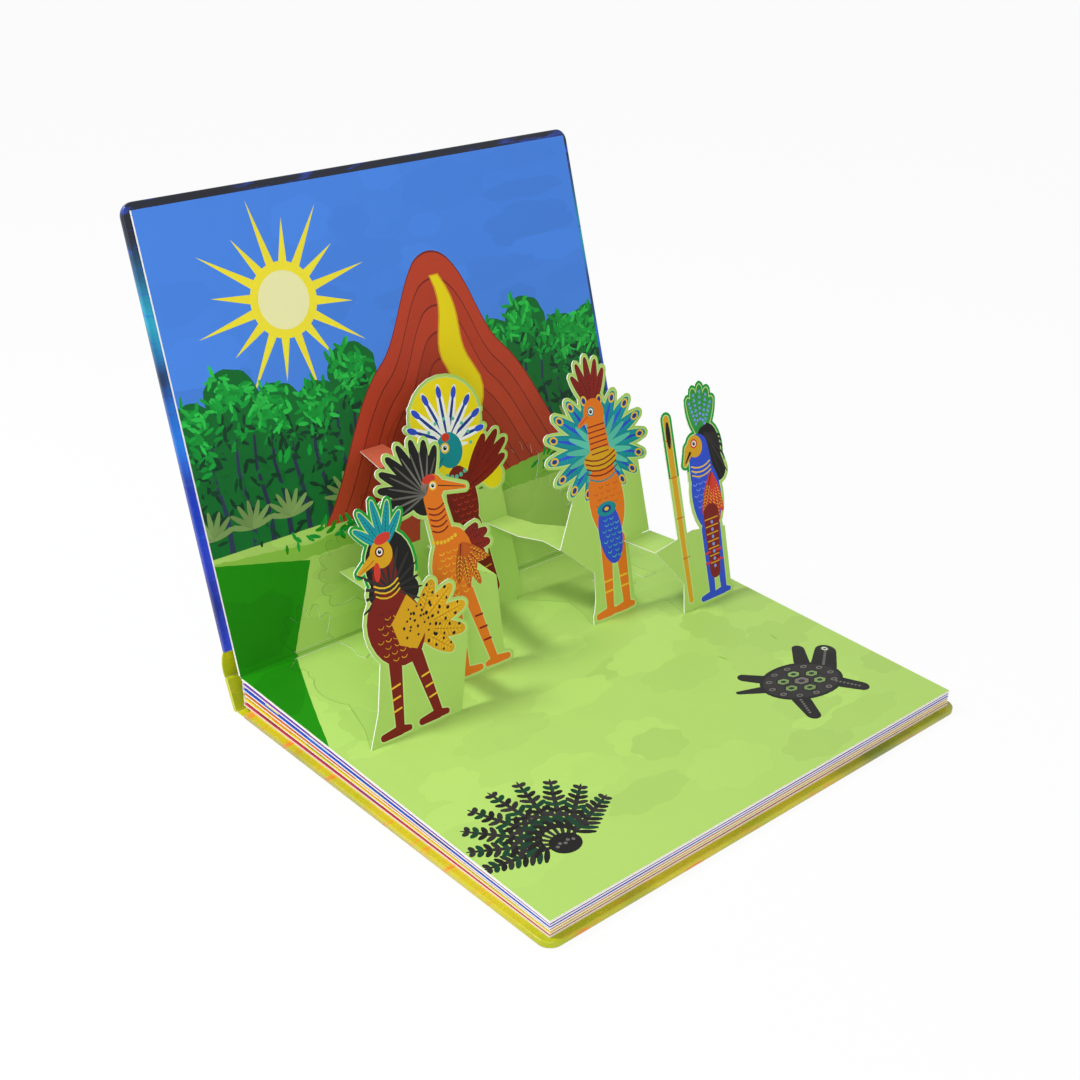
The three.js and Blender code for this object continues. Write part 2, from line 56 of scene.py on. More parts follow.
MM = 0.001
Point = tuple[float, float]
Outline = list[Point]
Spot = tuple[float, float, float]


# Sizes of the book, in millimetres


@dataclass(frozen=True)
class BookSize:
    """Driving sizes of the book, the same as the solids have.

    Args:
        page_length: page size along the gutter.
        page_width: page size from the gutter to the fore-edge.
        open_angle: angle between the two open pages, in degrees.
    """

    page_length: float = 240.0
    page_width: float = 205.0
    open_angle: float = 108.0
    cover_thickness: float = 3.0
    cover_square: float = 3.5
    cover_corner: float = 6.0
    block_at_spine: float = 14.0
    block_at_edge: float = 7.6
    leaf_count: int = 6
    leaf_thickness: float = 0.95
    sheet_thickness: float = 0.35
    window_depth: float = 0.2
    card_thickness: float = 0.45
    paper_gap: float = 0.1
    seat_gap: float = 0.3
    fold_allowance: float = 0.5
    spine_thickness: float = 2.4
    spine_length: float = 15.0
    spine_lean: float = 22.0
    spine_clearance: float = 0.5
    hinge_paper: float = 0.8
    rear_groove: float = 6.0
    front_groove: float = 12.4
    border: float = 1.8

    @property
    def fold_z(self) -> float:
        """Height of the gutter fold above the table."""
        return self.cover_thickness + self.block_at_spine + self.fold_allowance

    @property
    def gutter_y(self) -> float:
        """Place of the gutter fold along Y."""
        return (self.page_width + self.cover_square) / 2

    @property
    def drop(self) -> float:
        """Slope of the lower page towards the fore-edge, in radians."""
        return math.asin((self.block_at_spine - self.block_at_edge) / self.page_width)

    @property
    def flap(self) -> float:
        """Angle of the upper page above the lower page's own plane, in radians."""
        return math.radians(180.0 - self.open_angle)

    @property
    def cover_length(self) -> float:
        """Cover size along the gutter."""
        return self.page_length + 2 * self.cover_square

    @property
    def upper_leaf_back(self) -> float:
        """Back of the upper leaf below the fold axis, in the upper page's frame."""
        return -(self.fold_allowance + self.sheet_thickness + self.paper_gap + self.leaf_thickness)

    @property
    def front_cover_back(self) -> float:
        """Outside of the front cover, in the upper page's frame."""
        return self.upper_leaf_back - self.seat_gap - self.cover_thickness


BOOK = BookSize()


@dataclass(frozen=True)
class Places:
    """Frames of the book's pages as matrices from millimetres to the row frame in metres."""

    size: BookSize = BOOK

    def book(self) -> Matrix:
        """The frame whose y is 0 at the gutter fold."""
        return Matrix.Scale(MM, 4) @ Matrix.Translation((0, self.size.gutter_y, 0))

    def lower(self) -> Matrix:
        """The lower page's frame: x along the gutter, y away from the reader, z up from the page."""
        return self.book() @ Matrix.Translation((0, 0, self.size.fold_z)) @ Matrix.Rotation(self.size.drop, 4, "X")

    def upper(self) -> Matrix:
        """The upper page's frame."""
        return self.lower() @ Matrix.Rotation(self.size.flap, 4, "X")

    def card(self, foot_y: float) -> Matrix:
        """The frame of an upright card that stands on the line y = foot_y of the lower page."""
        foot = Matrix.Translation((0, foot_y, -self.size.fold_allowance))
        return self.lower() @ foot @ Matrix.Rotation(self.size.flap, 4, "X")

    def strip(self, height: float) -> Matrix:
        """The frame of a flat strip that carries a card at that height."""
        flap = self.size.flap
        up = Vector((0, height * math.cos(flap), height * math.sin(flap) - self.size.fold_allowance))
        return self.lower() @ Matrix.Translation(up)


PLACES = Places()


# Colours


def linear(hex_colour: int) -> tuple[float, float, float]:
    """Turns a display colour into linear light.

    Args:
        hex_colour: the colour as 0xRRGGBB.

    Returns:
        Red, green and blue in linear light.
    """
    channels = [((hex_colour >> shift) & 255) / 255 for shift in (16, 8, 0)]
    return tuple(c / 12.92 if c <= 0.04045 else ((c + 0.055) / 1.055) ** 2.4 for c in channels)


@dataclass(frozen=True)
class Ink:
    """One ink of the print.

    Args:
        colour: display colour as 0xRRGGBB.
        grain: how strongly the painted texture shows in it, from 0 to 1.
        shade: brightness factor, for the same ink laid on lighter or heavier, and for darker copies laid as painted
            shade and lighter ones laid as painted highlight.
    """

    colour: int
    grain: float = 0.5
    shade: float = 1.0

    def varied(self, rng: random.Random, amount: float) -> "Ink":
        """The same ink, a little lighter or darker."""
        return Ink(self.colour, self.grain, self.shade * (1 + rng.uniform(-amount, amount)))

    def linear(self) -> tuple[float, float, float, float]:
        """The ink's colour in linear light with its shade."""
        r, g, b = linear(self.colour)
        return (min(1.0, r * self.shade), min(1.0, g * self.shade), min(1.0, b * self.shade), 1.0)


class Inks:
    """The inks that the book is printed with."""

    PAPER = Ink(0xF6F4EC, 0.05)
    GRASS = Ink(0xB0D66A, 0.35)
    GRASS_LIGHT = Ink(0xC6E28C, 0.3)
    GRASS_DEEP = Ink(0x8CC048, 0.4)
    BANK = Ink(0x1C8A06, 0.4)
    SKY = Ink(0x4C8AF2, 0.3)
    SUN = Ink(0xFFEE3A, 0.55)
    SUN_PALE = Ink(0xFBF8B8, 0.3)
    BRICK = Ink(0xB84028, 0.8)
    BRICK_LIGHT = Ink(0xD0654A, 0.7)
    BRICK_DARK = Ink(0x7A2A1E, 0.75)
    PATH = Ink(0xF6DE17, 0.4)
    PATH_LINE = Ink(0xE0A21C, 0.4)
    TREE = Ink(0x0E6A2C, 0.8)
    TREE_DARK = Ink(0x0C3A24, 0.8)
    LEAF = Ink(0x139A38, 0.5)
    LEAF_BRIGHT = Ink(0x2CC04A, 0.5)
    BUSH = Ink(0x7C9A5A, 0.7)
    TRUNK = Ink(0x2A3550, 0.5)
    BLACK = Ink(0x141312, 0.4)
    CHARCOAL = Ink(0x2A2827, 0.4)
    GREY = Ink(0x6A6762, 0.4)
    TEAL = Ink(0x128C98, 0.5)
    TEAL_LIGHT = Ink(0x58BFA8, 0.4)
    TEAL_DEEP = Ink(0x16586B, 0.5)
    BLUE = Ink(0x2E4FD0, 0.5)
    BLUE_LIGHT = Ink(0x7F9BE6, 0.4)
    NAVY = Ink(0x223A8C, 0.5)
    MAROON = Ink(0x7A1C14, 0.6)
    MAROON_DARK = Ink(0x561A18, 0.6)
    RED = Ink(0xD23B2C, 0.5)
    OCHRE = Ink(0xDCA31C, 0.5)
    GOLD = Ink(0xF2C230, 0.4)
    ORANGE = Ink(0xEA781C, 0.55)
    ORANGE_DEEP = Ink(0xC75A1C, 0.55)
    WHITE = Ink(0xF8F8F4, 0.1)
    GREEN = Ink(0x2E9440, 0.5)


# Shader expressions


class Signal:
    """A shader socket that can be used in arithmetic."""

    def __init__(self, shader: "ShaderTree", socket: bpy.types.NodeSocket) -> None:
        """Wraps an output socket of a tree.

        Args:
            shader: the tree.
            socket: the socket.
        """
        self.shader = shader
        self.socket = socket

    def _math(self, operation: str, first: object, second: object) -> "Signal":
        """Adds a Math node.

        Args:
            operation: what the node does.
            first: its first number or signal.
            second: its second number or signal.

        Returns:
            The result.
        """
        return self.shader.node("ShaderNodeMath", {"operation": operation}, {0: first, 1: second})

    def __add__(self, other: object) -> "Signal":
        """The sum with a number or signal."""
        return self._math("ADD", self, other)

    __radd__ = __add__

    def __sub__(self, other: object) -> "Signal":
        """This signal less a number or signal."""
        return self._math("SUBTRACT", self, other)

    def __rsub__(self, other: object) -> "Signal":
        """A number or signal less this one."""
        return self._math("SUBTRACT", other, self)

    def __mul__(self, other: object) -> "Signal":
        """The product with a number or signal."""
        return self._math("MULTIPLY", self, other)

    __rmul__ = __mul__

    def ramp(self, low: float, high: float) -> "Signal":
        """0 below low, 1 above high, and smooth in between."""
        settings = {"interpolation_type": "SMOOTHSTEP"}
        return self.shader.node("ShaderNodeMapRange", settings, {"Value": self, "From Min": low, "From Max": high})


class ShaderTree:
    """Builds the nodes of one material or of the world."""

    def __init__(self, owner: bpy.types.Material | bpy.types.World) -> None:
        """Switches the owner's nodes on and finds its first shader.

        Args:
            owner: the material or world.
        """
        self.owner = owner
        owner.use_nodes = True
        self.nodes = owner.node_tree.nodes
        self.links = owner.node_tree.links
        self.surface = self.nodes.get("Principled BSDF") or self.nodes["Background"]

    def node(
        self, kind: str, settings: dict | None = None, inputs: dict | None = None, output: int | str = 0
    ) -> Signal:
        """Adds a node.

        Args:
            kind: the node's type.
            settings: properties set before the sockets.
            inputs: values or signals of its sockets, by name or place.
            output: the socket that is returned.

        Returns:
            The output as a signal.
        """
        made = self.nodes.new(kind)
        for key, value in (settings or {}).items():
            setattr(made, key, value)
        for key, value in (inputs or {}).items():
            self.feed(made.inputs[key], value)
        return Signal(self, made.outputs[output])

    def feed(self, socket: bpy.types.NodeSocket, value: object) -> None:
        """Links a signal to a socket or sets the socket's value."""
        if isinstance(value, Signal):
            self.links.new(value.socket, socket)
        else:
            socket.default_value = value

    def uv(self) -> Signal:
        """The print's own flat coordinates, in centimetres."""
        return self.node("ShaderNodeUVMap", {"uv_map": "print"})

    def scaled(self, vector: Signal, factors: tuple[float, float, float]) -> Signal:
        """The vector with each part multiplied."""
        return self.node("ShaderNodeVectorMath", {"operation": "MULTIPLY"}, {0: vector, 1: factors})

    def noise(self, vector: Signal, scale: float, detail: float = 3.0, rough: float = 0.55) -> Signal:
        """Soft noise from 0 to 1."""
        return self.node(
            "ShaderNodeTexNoise", {}, {"Vector": vector, "Scale": scale, "Detail": detail, "Roughness": rough}
        )

    def mix(self, factor: object, first: object, second: object, blend: str = "MIX") -> Signal:
        """Mixes two colours."""
        settings = {"data_type": "RGBA", "blend_type": blend}
        return self.node("ShaderNodeMix", settings, {0: factor, 6: first, 7: second}, 2)

    def bump(self, height: Signal, strength: float, distance: float, under: Signal | None = None) -> Signal:
        """A bumped normal."""
        inputs = {"Height": height, "Strength": strength, "Distance": distance}
        if under is not None:
            inputs["Normal"] = under
        return self.node("ShaderNodeBump", {}, inputs)

    def finish(self, **sockets: object) -> bpy.types.Material | bpy.types.World:
        """Feeds the first shader's sockets, with _ for a space in their names, and returns the owner."""
        for key, value in sockets.items():
            self.feed(self.surface.inputs[key.replace("_", " ")], value)
        return self.owner


@dataclass(frozen=True)
class PrintedPaper:
    """Paper or card that carries the print, whose ink comes with the mesh.

    Args:
        name: the material's name.
        roughness: mean roughness of the inked face.
        coat: weight of its thin varnish.
    """

    name: str = "printed_paper"
    roughness: float = 0.5
    coat: float = 0.02

    def build(self) -> bpy.types.Material:
        """Makes the material."""
        tree = ShaderTree(bpy.data.materials.new(self.name))
        uv = tree.uv()
        ink = tree.node("ShaderNodeAttribute", {"attribute_name": "ink_colour"}, output="Color")
        grain = tree.node("ShaderNodeAttribute", {"attribute_name": "ink_grain"}, output="Fac")
        broad = tree.noise(uv, 1.1, 4.0, 0.6)
        brush = tree.noise(tree.scaled(uv, (3.0, 11.0, 1.0)), 1.6, 4.0, 0.65)
        dab = tree.noise(uv, 9.0, 3.0, 0.6)
        tone = (broad - 0.5) * 0.5 + (brush - 0.5) * 0.55 + (dab - 0.5) * 0.5
        light = (tone * grain).ramp(0.02, 0.42)
        dark = (tone * grain * -1.0).ramp(0.02, 0.42)
        pale = tree.mix(light * 0.5, ink, (1.0, 0.97, 0.82, 1.0), "SOFT_LIGHT")
        deep = tree.mix(dark * 0.75, pale, tree.mix(1.0, pale, (0.5, 0.5, 0.56, 1.0), "MULTIPLY"))
        fibre = tree.noise(uv, 60.0, 2.0, 0.5)
        wave = tree.noise(uv, 0.35, 2.0, 0.5)
        colour = tree.mix(0.3 * fibre.ramp(0.35, 0.75), deep, (0.8, 0.8, 0.76, 1.0), "SOFT_LIGHT")
        normal = tree.bump(fibre, 0.22, 0.0001, tree.bump(wave, 0.22, 0.004))
        return tree.finish(
            Base_Color=colour,
            Roughness=self.roughness - 0.1 + 0.16 * broad,
            Coat_Weight=self.coat,
            Coat_Roughness=0.35,
            Specular_IOR_Level=0.17,
            Normal=normal,
        )


@dataclass(frozen=True)
class LeafEdge:
    """The cut edge and the blank face of a leaf: fibrous white board, a little soiled.

    Args:
        name: the material's name.
        colour: the board's display colour as 0xRRGGBB.
    """

    name: str = "leaf_edge"
    colour: int = 0xF3F0E8

    def build(self) -> bpy.types.Material:
        """Makes the material."""
        tree = ShaderTree(bpy.data.materials.new(self.name))
        uv = tree.uv()
        fibre = tree.noise(tree.scaled(uv, (9.0, 60.0, 1.0)), 1.4, 3.0)
        soil = tree.noise(uv, 0.8, 3.0)
        base = (*linear(self.colour), 1.0)
        worn = tree.mix(soil.ramp(0.45, 0.75) * 0.35, base, (0.62, 0.58, 0.60, 1.0))
        colour = tree.mix(fibre.ramp(0.5, 0.8) * 0.25, worn, (0.55, 0.52, 0.5, 1.0))
        return tree.finish(Base_Color=colour, Roughness=0.75 + 0.1 * fibre, Normal=tree.bump(fibre, 0.35, 0.0002))


@dataclass(frozen=True)
class PaintedWrap:
    """Glossy printed wrap with a loose painted pattern in three colours and dark patches over it.

    Args:
        name: the material's name.
        first: one colour of the broad clouds.
        second: the other colour of the clouds.
        third: colour of the strokes.
        dark: colour of the dark patches.
        dark_share: how much of the wrap they cover, from 0 to 1.
        roughness: roughness of the film.
        bands: broad bands of colour across the wrap, as (place in centimetres, colour) from the hinge outwards.
    """

    name: str
    first: int
    second: int
    third: int
    dark: int
    dark_share: float
    roughness: float = 0.2
    bands: tuple[tuple[float, int], ...] = ()

    def build(self) -> bpy.types.Material:
        """Makes the material."""
        tree = ShaderTree(bpy.data.materials.new(self.name))
        uv = tree.uv()
        along = tree.noise(uv, 0.14, 2.0, 0.5)
        stroke = tree.noise(tree.scaled(uv, (0.8, 3.6, 1.0)), 0.5, 4.0, 0.6)
        leaf = tree.noise(tree.scaled(uv, (1.0, 0.8, 1.0)), 0.16, 3.0, 0.5)
        brush = tree.noise(tree.scaled(uv, (2.0, 14.0, 1.0)), 0.9, 4.0, 0.7)
        base = tree.mix(along.ramp(0.4, 0.6), (*linear(self.first), 1.0), (*linear(self.second), 1.0))
        height = tree.node("ShaderNodeSeparateXYZ", {}, {0: uv}, "Y") + 2.4 * (along - 0.5)
        for place, colour in self.bands:
            base = tree.mix(height.ramp(place - 1.2, place + 1.2), base, (*linear(colour), 1.0))
        painted = tree.mix(stroke.ramp(0.52, 0.7), base, (*linear(self.third), 1.0))
        streaked = tree.mix(brush.ramp(0.42, 0.72) * 0.3, painted, (1.0, 1.0, 0.9, 1.0), "SOFT_LIGHT")
        edge = 0.62 - 0.2 * self.dark_share
        shaded = tree.mix((leaf + 0.08 * brush).ramp(edge, edge + 0.2), streaked, (*linear(self.dark), 1.0))
        film = tree.noise(uv, 22.0, 2.0)
        ripple = tree.noise(uv, 0.8, 2.0)
        return tree.finish(
            Base_Color=shaded,
            Roughness=self.roughness + 0.12 * film,
            Coat_Weight=0.22,
            Coat_Roughness=0.12,
            Specular_IOR_Level=0.3,
            Normal=tree.bump(film, 0.06, 0.0001, tree.bump(ripple, 0.15, 0.002)),
        )


class Finish(Enum):
    """The finishes of the book's pieces."""

    PRINT = PrintedPaper()
    STRIP = PrintedPaper("printed_strip", 0.48, 0.05)
    EDGE = LeafEdge()
    FRONT_WRAP = PaintedWrap(
        "front_wrap", 0x2A44D4, 0x2A3CCC, 0x2A56D8, 0x060A1C, 0.45,
        bands=((6.0, 0x1238C4), (9.5, 0x0C7CF0), (14.0, 0x18A4C8), (16.6, 0x0C5C86), (18.4, 0x0A1226)),
    )
    BACK_WRAP = PaintedWrap("back_wrap", 0xCCC01A, 0xAEB80C, 0xEC8428, 0x7E8A0C, 0.4)
    SPINE_WRAP = PaintedWrap("spine_wrap", 0xC6C80E, 0xB2C016, 0xD8CC20, 0x5E6A0E, 0.35)

    def material(self) -> bpy.types.Material:
        """The finish's material, made once."""
        return bpy.data.materials.get(self.value.name) or self.value.build()


# Outlines, in millimetres on a page or card


class Pen:
    """Draws closed outlines. What it draws at random comes from its own seed."""

    def __init__(self, seed: int) -> None:
        """Takes up the pen.

        Args:
            seed: seed of what it draws at random.
        """
        self.rng = random.Random(seed)

    @staticmethod
    def oval(x: float, y: float, half_width: float, half_height: float, tilt: float = 0.0, steps: int = 24) -> Outline:
        """An ellipse turned by tilt degrees."""
        turn = math.radians(tilt)
        points = []
        for i in range(steps):
            a = 2 * math.pi * i / steps
            u, v = half_width * math.cos(a), half_height * math.sin(a)
            points.append((x + u * math.cos(turn) - v * math.sin(turn), y + u * math.sin(turn) + v * math.cos(turn)))
        return points

    @staticmethod
    def limb(x1: float, y1: float, x2: float, y2: float, radius1: float, radius2: float, steps: int = 8) -> Outline:
        """A tapered bar with round ends."""
        heading = math.atan2(y2 - y1, x2 - x1)
        points = []
        for x, y, radius, start in ((x1, y1, radius1, math.pi / 2), (x2, y2, radius2, -math.pi / 2)):
            for i in range(steps + 1):
                a = heading + start + math.pi * i / steps
                points.append((x + radius * math.cos(a), y + radius * math.sin(a)))
        return points

    @staticmethod
    def feather(
        x: float, y: float, length: float, width: float, angle: float, grow: float = 0.0, steps: int = 8
    ) -> Outline:
        """A feather or petal that leaves (x, y) at angle degrees from upright."""
        turn = math.radians(angle)
        half = width / 2 + grow
        tip = length + grow

        def at(along: float, across: float) -> Point:
            """The point that far along the feather and across it."""
            return (
                x + along * math.sin(turn) + across * math.cos(turn),
                y + along * math.cos(turn) - across * math.sin(turn),
            )

        def bend(a: Point, b: Point, c: Point) -> Outline:
            """A curve from a towards c that leans to b, without its last point."""
            shares = [i / steps for i in range(steps)]
            return [
                tuple((1 - t) ** 2 * a[k] + 2 * t * (1 - t) * b[k] + t * t * c[k] for k in (0, 1)) for t in shares
            ]

        root_left, root_right = at(-grow, -half * 0.35), at(-grow, half * 0.35)
        left, right = at(tip * 0.93, -half * 0.5), at(tip * 0.93, half * 0.5)
        return (
            bend(root_left, at(length * 0.45, -half * 1.5), left)
            + bend(left, at(tip * 1.04, 0), right)
            + bend(right, at(length * 0.45, half * 1.5), root_right)
            + [root_right]
        )

    @staticmethod
    def stroke(points: Sequence[Point], start_width: float, end_width: float) -> Outline:
        """A brush stroke along a line, tapering from one width to the other."""
        line = np.array(points, float)
        ahead = np.gradient(line, axis=0)
        ahead /= np.maximum(np.linalg.norm(ahead, axis=1), 1e-9)[:, None]
        side = np.stack([-ahead[:, 1], ahead[:, 0]], axis=1)
        width = np.linspace(start_width, end_width, len(line))[:, None] / 2
        return [tuple(p) for p in line + side * width] + [tuple(p) for p in (line - side * width)[::-1]]

    @staticmethod
    def arc(x: float, y: float, radius: float, first: float, last: float, steps: int = 10) -> Outline:
        """Points along an arc between two angles in degrees, as a line for stroke."""
        angles = [math.radians(first + (last - first) * i / steps) for i in range(steps + 1)]
        return [(x + radius * math.cos(a), y + radius * math.sin(a)) for a in angles]

    @staticmethod
    def curve(start: Point, *bends: tuple[float, ...], steps: int = 10) -> Outline:
        """A run of smooth curves.

        Args:
            start: the first point.
            bends: for each curve its first handle, second handle and end, as six numbers.
            steps: points along each curve.

        Returns:
            The points from the start to the last end.
        """
        points = [start]
        for x1, y1, x2, y2, x3, y3 in bends:
            x0, y0 = points[-1]
            for i in range(1, steps + 1):
                t = i / steps
                a, b, c, d = (1 - t) ** 3, 3 * t * (1 - t) ** 2, 3 * t * t * (1 - t), t**3
                points.append((a * x0 + b * x1 + c * x2 + d * x3, a * y0 + b * y1 + c * y2 + d * y3))
        return points

    def blob(self, x: float, y: float, half_width: float, half_height: float, lumps: int, depth: float) -> Outline:
        """A lumpy round mass, such as a tree's crown."""
        phase = self.rng.uniform(0, 2 * math.pi)
        steps = lumps * 5
        points = []
        for i in range(steps):
            a = 2 * math.pi * i / steps
            swell = 1 + depth * abs(math.sin(lumps * a / 2 + phase)) + self.rng.uniform(-0.02, 0.02)
            points.append((x + half_width * swell * math.cos(a), y + half_height * swell * math.sin(a)))
        return points

    def rough(self, outline: Outline, amount: float, step: float) -> Outline:
        """The outline with its edges broken up as a dry brush leaves them."""
        points = []
        for a, b in zip(outline, outline[1:] + outline[:1]):
            pieces = max(1, int(math.dist(a, b) / step))
            for i in range(pieces):
                t = i / pieces
                points.append(
                    (
                        a[0] + (b[0] - a[0]) * t + self.rng.uniform(-amount, amount),
                        a[1] + (b[1] - a[1]) * t + self.rng.uniform(-amount, amount),
                    )
                )
        return points


def fan(count: int, x: float, y: float, length: float, width: float, first: float, last: float) -> list[tuple]:
    """Feathers spread from one point, the middle ones longest, as Pen.feather's arguments."""
    rows = []
    for i in range(count):
        share = i / (count - 1)
        reach = length * (0.82 + 0.18 * math.sin(share * math.pi))
        rows.append((x, y, reach, width, first + share * (last - first)))
    return rows


def towards(x: float, y: float, distance: float, angle: float) -> Point:
    """The point at a distance from (x, y), at angle degrees from upright."""
    turn = math.radians(angle)
    return (x + distance * math.sin(turn), y + distance * math.cos(turn))


@dataclass
class Picture:
    """Fields of ink laid one over another inside one cut outline.

    Args:
        seed: seed of what is drawn at random.
        fields: (outline, ink) from the lowest up.
        windows: outlines of the shallow die-cut windows.
        cut_shade_rims: outlines a little larger than the windows, where a darker line is laid as painted shade in the
            die cut.
        ground: how many of the first fields make the cut outline, which the others don't leave.
    """

    seed: int
    fields: list[tuple[Outline, Ink]] = field(default_factory=list)
    windows: list[Outline] = field(default_factory=list)
    cut_shade_rims: list[Outline] = field(default_factory=list)
    ground: int = 1
    pen: Pen = field(init=False)

    def __post_init__(self) -> None:
        """Takes up a pen with the picture's own seed."""
        self.pen = Pen(self.seed)

    def lay(self, ink: Ink, *outlines: Outline) -> None:
        """Lays the ink over what is there already."""
        for outline in outlines:
            self.fields.append((outline, ink))

    def triangles(self) -> tuple[list, list, list, list]:
        """Arranges the fields into triangles that don't overlap.

        Returns:
            Points, triangles, the ink of each triangle, and whether each lies in a window.
        """
        outlines = [outline for outline, _ in self.fields] + self.windows + self.cut_shade_rims
        points, faces = [], []
        for outline in outlines:
            area = sum(a[0] * b[1] - b[0] * a[1] for a, b in zip(outline, outline[1:] + outline[:1]))
            ring = outline if area > 0 else outline[::-1]
            faces.append(list(range(len(points), len(points) + len(ring))))
            points.extend(Vector(p) for p in ring)
        made = delaunay_2d_cdt(points, [], faces, 1, 1e-4, True)
        corners, triangles, owners = made[0], made[2], made[5]
        kept, inks, windowed = [], [], []
        for triangle, owner in zip(triangles, owners):
            laid = [i for i in owner if i < len(self.fields)]
            if not laid or min(laid) >= self.ground:
                continue
            ink = self.fields[max(laid)][1]
            window = any(len(self.fields) <= i < len(self.fields) + len(self.windows) for i in owner)
            # Rims round the windows are laid a third darker below: painted shade in the die cut.
            in_cut_shade = not window and any(i >= len(self.fields) + len(self.windows) for i in owner)
            kept.append(triangle)
            # Window floors are laid a little darker: painted shade in their shallow recess.
            inks.append(Ink(ink.colour, ink.grain, ink.shade * (0.66 if in_cut_shade else 0.96 if window else 1.0)))
            windowed.append(window)
        return corners, kept, inks, windowed


def dress(mesh: bpy.types.Mesh, layout: list[list[Point]], paints: Sequence[Ink]) -> None:
    """Gives the mesh its flat coordinates and its inks.

    Args:
        mesh: the mesh.
        layout: place of each corner of each face in the print, in millimetres.
        paints: ink of each face.
    """
    uv = [value / 10.0 for face in layout for corner in face for value in corner]
    mesh.uv_layers.new(name="print").data.foreach_set("uv", uv)
    tints = [value for face, ink in zip(layout, paints) for _ in face for value in ink.linear()]
    mesh.attributes.new("ink_colour", "FLOAT_COLOR", "CORNER").data.foreach_set("color", tints)
    grains = [ink.grain for face, ink in zip(layout, paints) for _ in face]
    mesh.attributes.new("ink_grain", "FLOAT", "CORNER").data.foreach_set("value", grains)


def add(name: str, data: bpy.types.ID) -> bpy.types.Object:
    """Puts a mesh, lamp or camera into the scene.

    Args:
        name: the object's name.
        data: the mesh, lamp or camera.

    Returns:
        The object.
    """
    made = bpy.data.objects.new(name, data)
    bpy.context.scene.collection.objects.link(made)
    return made


def add_piece(name: str, mesh: bpy.types.Mesh, finish: Finish) -> bpy.types.Object:
    """Gives a mesh its finish, puts it into the scene and reports it.

    Args:
        name: the piece's name.
        mesh: its mesh.
        finish: its finish.

    Returns:
        The piece.
    """
    mesh.materials.append(finish.material())
    LOG.info("%s: %d faces", name, len(mesh.polygons))
    return add(name, mesh)


@dataclass
class PrintedSheet:
    """A flat piece of paper or card with a picture on its front.

    Args:
        name: the piece's name.
        picture: what is printed on it.
        place: matrix from the sheet's millimetres to the row frame.
        front: height of the printed face in the sheet's frame.
        thickness: the sheet's thickness.
        back: ink of the back.
        finish: the finish of all of it.
        window_depth: depth of the windows, in a sheet that has them.
    """

    name: str
    picture: Picture
    place: Matrix
    front: float
    thickness: float
    back: Ink
    finish: Finish = Finish.PRINT
    window_depth: float = 0.0

    def build(self) -> bpy.types.Object:
        """Builds the closed mesh with its inks."""
        corners, triangles, inks, windowed = self.picture.triangles()
        count = len(corners)
        levels = (self.front, self.front - self.window_depth, self.front - self.thickness)
        points = [(p[0], p[1], z) for z in levels for p in corners]
        faces, paints = [], []
        neighbours: dict[tuple[int, int], list[int]] = {}
        for index, triangle in enumerate(triangles):
            level = count if windowed[index] else 0
            faces.append([v + level for v in triangle])
            paints.append(inks[index])
            for a, b in zip(triangle, triangle[1:] + triangle[:1]):
                neighbours.setdefault((min(a, b), max(a, b)), []).append(index)
        bottom = 2 * count
        for triangle in triangles:
            faces.append([v + bottom for v in reversed(triangle)])
            paints.append(self.back)
        for index, triangle in enumerate(triangles):
            for a, b in zip(triangle, triangle[1:] + triangle[:1]):
                sharing = neighbours[(min(a, b), max(a, b))]
                level = count if windowed[index] else 0
                if len(sharing) == 1:
                    faces.append([b + level, a + level, a + bottom, b + bottom])
                    paints.append(Inks.PAPER)
                elif self.window_depth and not windowed[index]:
                    other = sharing[0] if sharing[1] == index else sharing[1]
                    if windowed[other]:
                        faces.append([b, a, a + count, b + count])
                        paints.append(Inks.PAPER)
        return self._mesh(points, faces, paints)

    def _mesh(self, points: list, faces: list, paints: list[Ink]) -> bpy.types.Object:
        """Makes the piece of the points that its faces use.

        Args:
            points: points in the sheet's frame.
            faces: faces as places in points.
            paints: ink of each face.

        Returns:
            The piece.
        """
        used = sorted({v for f in faces for v in f})
        place_of = {v: i for i, v in enumerate(used)}
        mesh = bpy.data.meshes.new(self.name)
        placed = [self.place @ Vector(points[v]) for v in used]
        mesh.from_pydata(placed, [], [[place_of[v] for v in f] for f in faces])
        layout = [[(points[v][0] + points[v][2], points[v][1]) for v in f] for f in faces]
        dress(mesh, layout, paints)
        mesh.update()
        return add_piece(self.name, mesh, self.finish)


# Motifs of the pictures


@dataclass
class Feathering:
    """Draws one feather with its rib and barbs."""

    picture: Picture
    body: Ink
    rib: Ink
    barb: Ink

    def draw(self, x: float, y: float, length: float, width: float, angle: float) -> None:
        """Lays the feather that leaves (x, y)."""
        pen = self.picture.pen
        self.picture.lay(self.body.varied(pen.rng, 0.12), pen.feather(x, y, length, width, angle))
        turn = math.radians(angle)
        ahead, across = (math.sin(turn), math.cos(turn)), (math.cos(turn), -math.sin(turn))

        def at(along: float, side: float) -> Point:
            """The point that far along the feather and to its side."""
            return (x + along * ahead[0] + side * across[0], y + along * ahead[1] + side * across[1])

        barbs = max(3, int(length / 2.6))
        for i in range(barbs):
            along = length * (0.3 + 0.6 * i / barbs)
            for side in (-1, 1):
                reach = width * 0.36 * math.sin(math.pi * min(1.0, 0.25 + i / barbs * 0.7))
                self.picture.lay(
                    self.barb.varied(pen.rng, 0.1),
                    pen.stroke([at(along, 0), at(along + 1.4, side * reach)], 0.5, 0.22),
                )
        self.picture.lay(self.rib, pen.stroke([at(0, 0), at(length * 0.9, 0)], 0.7, 0.3))


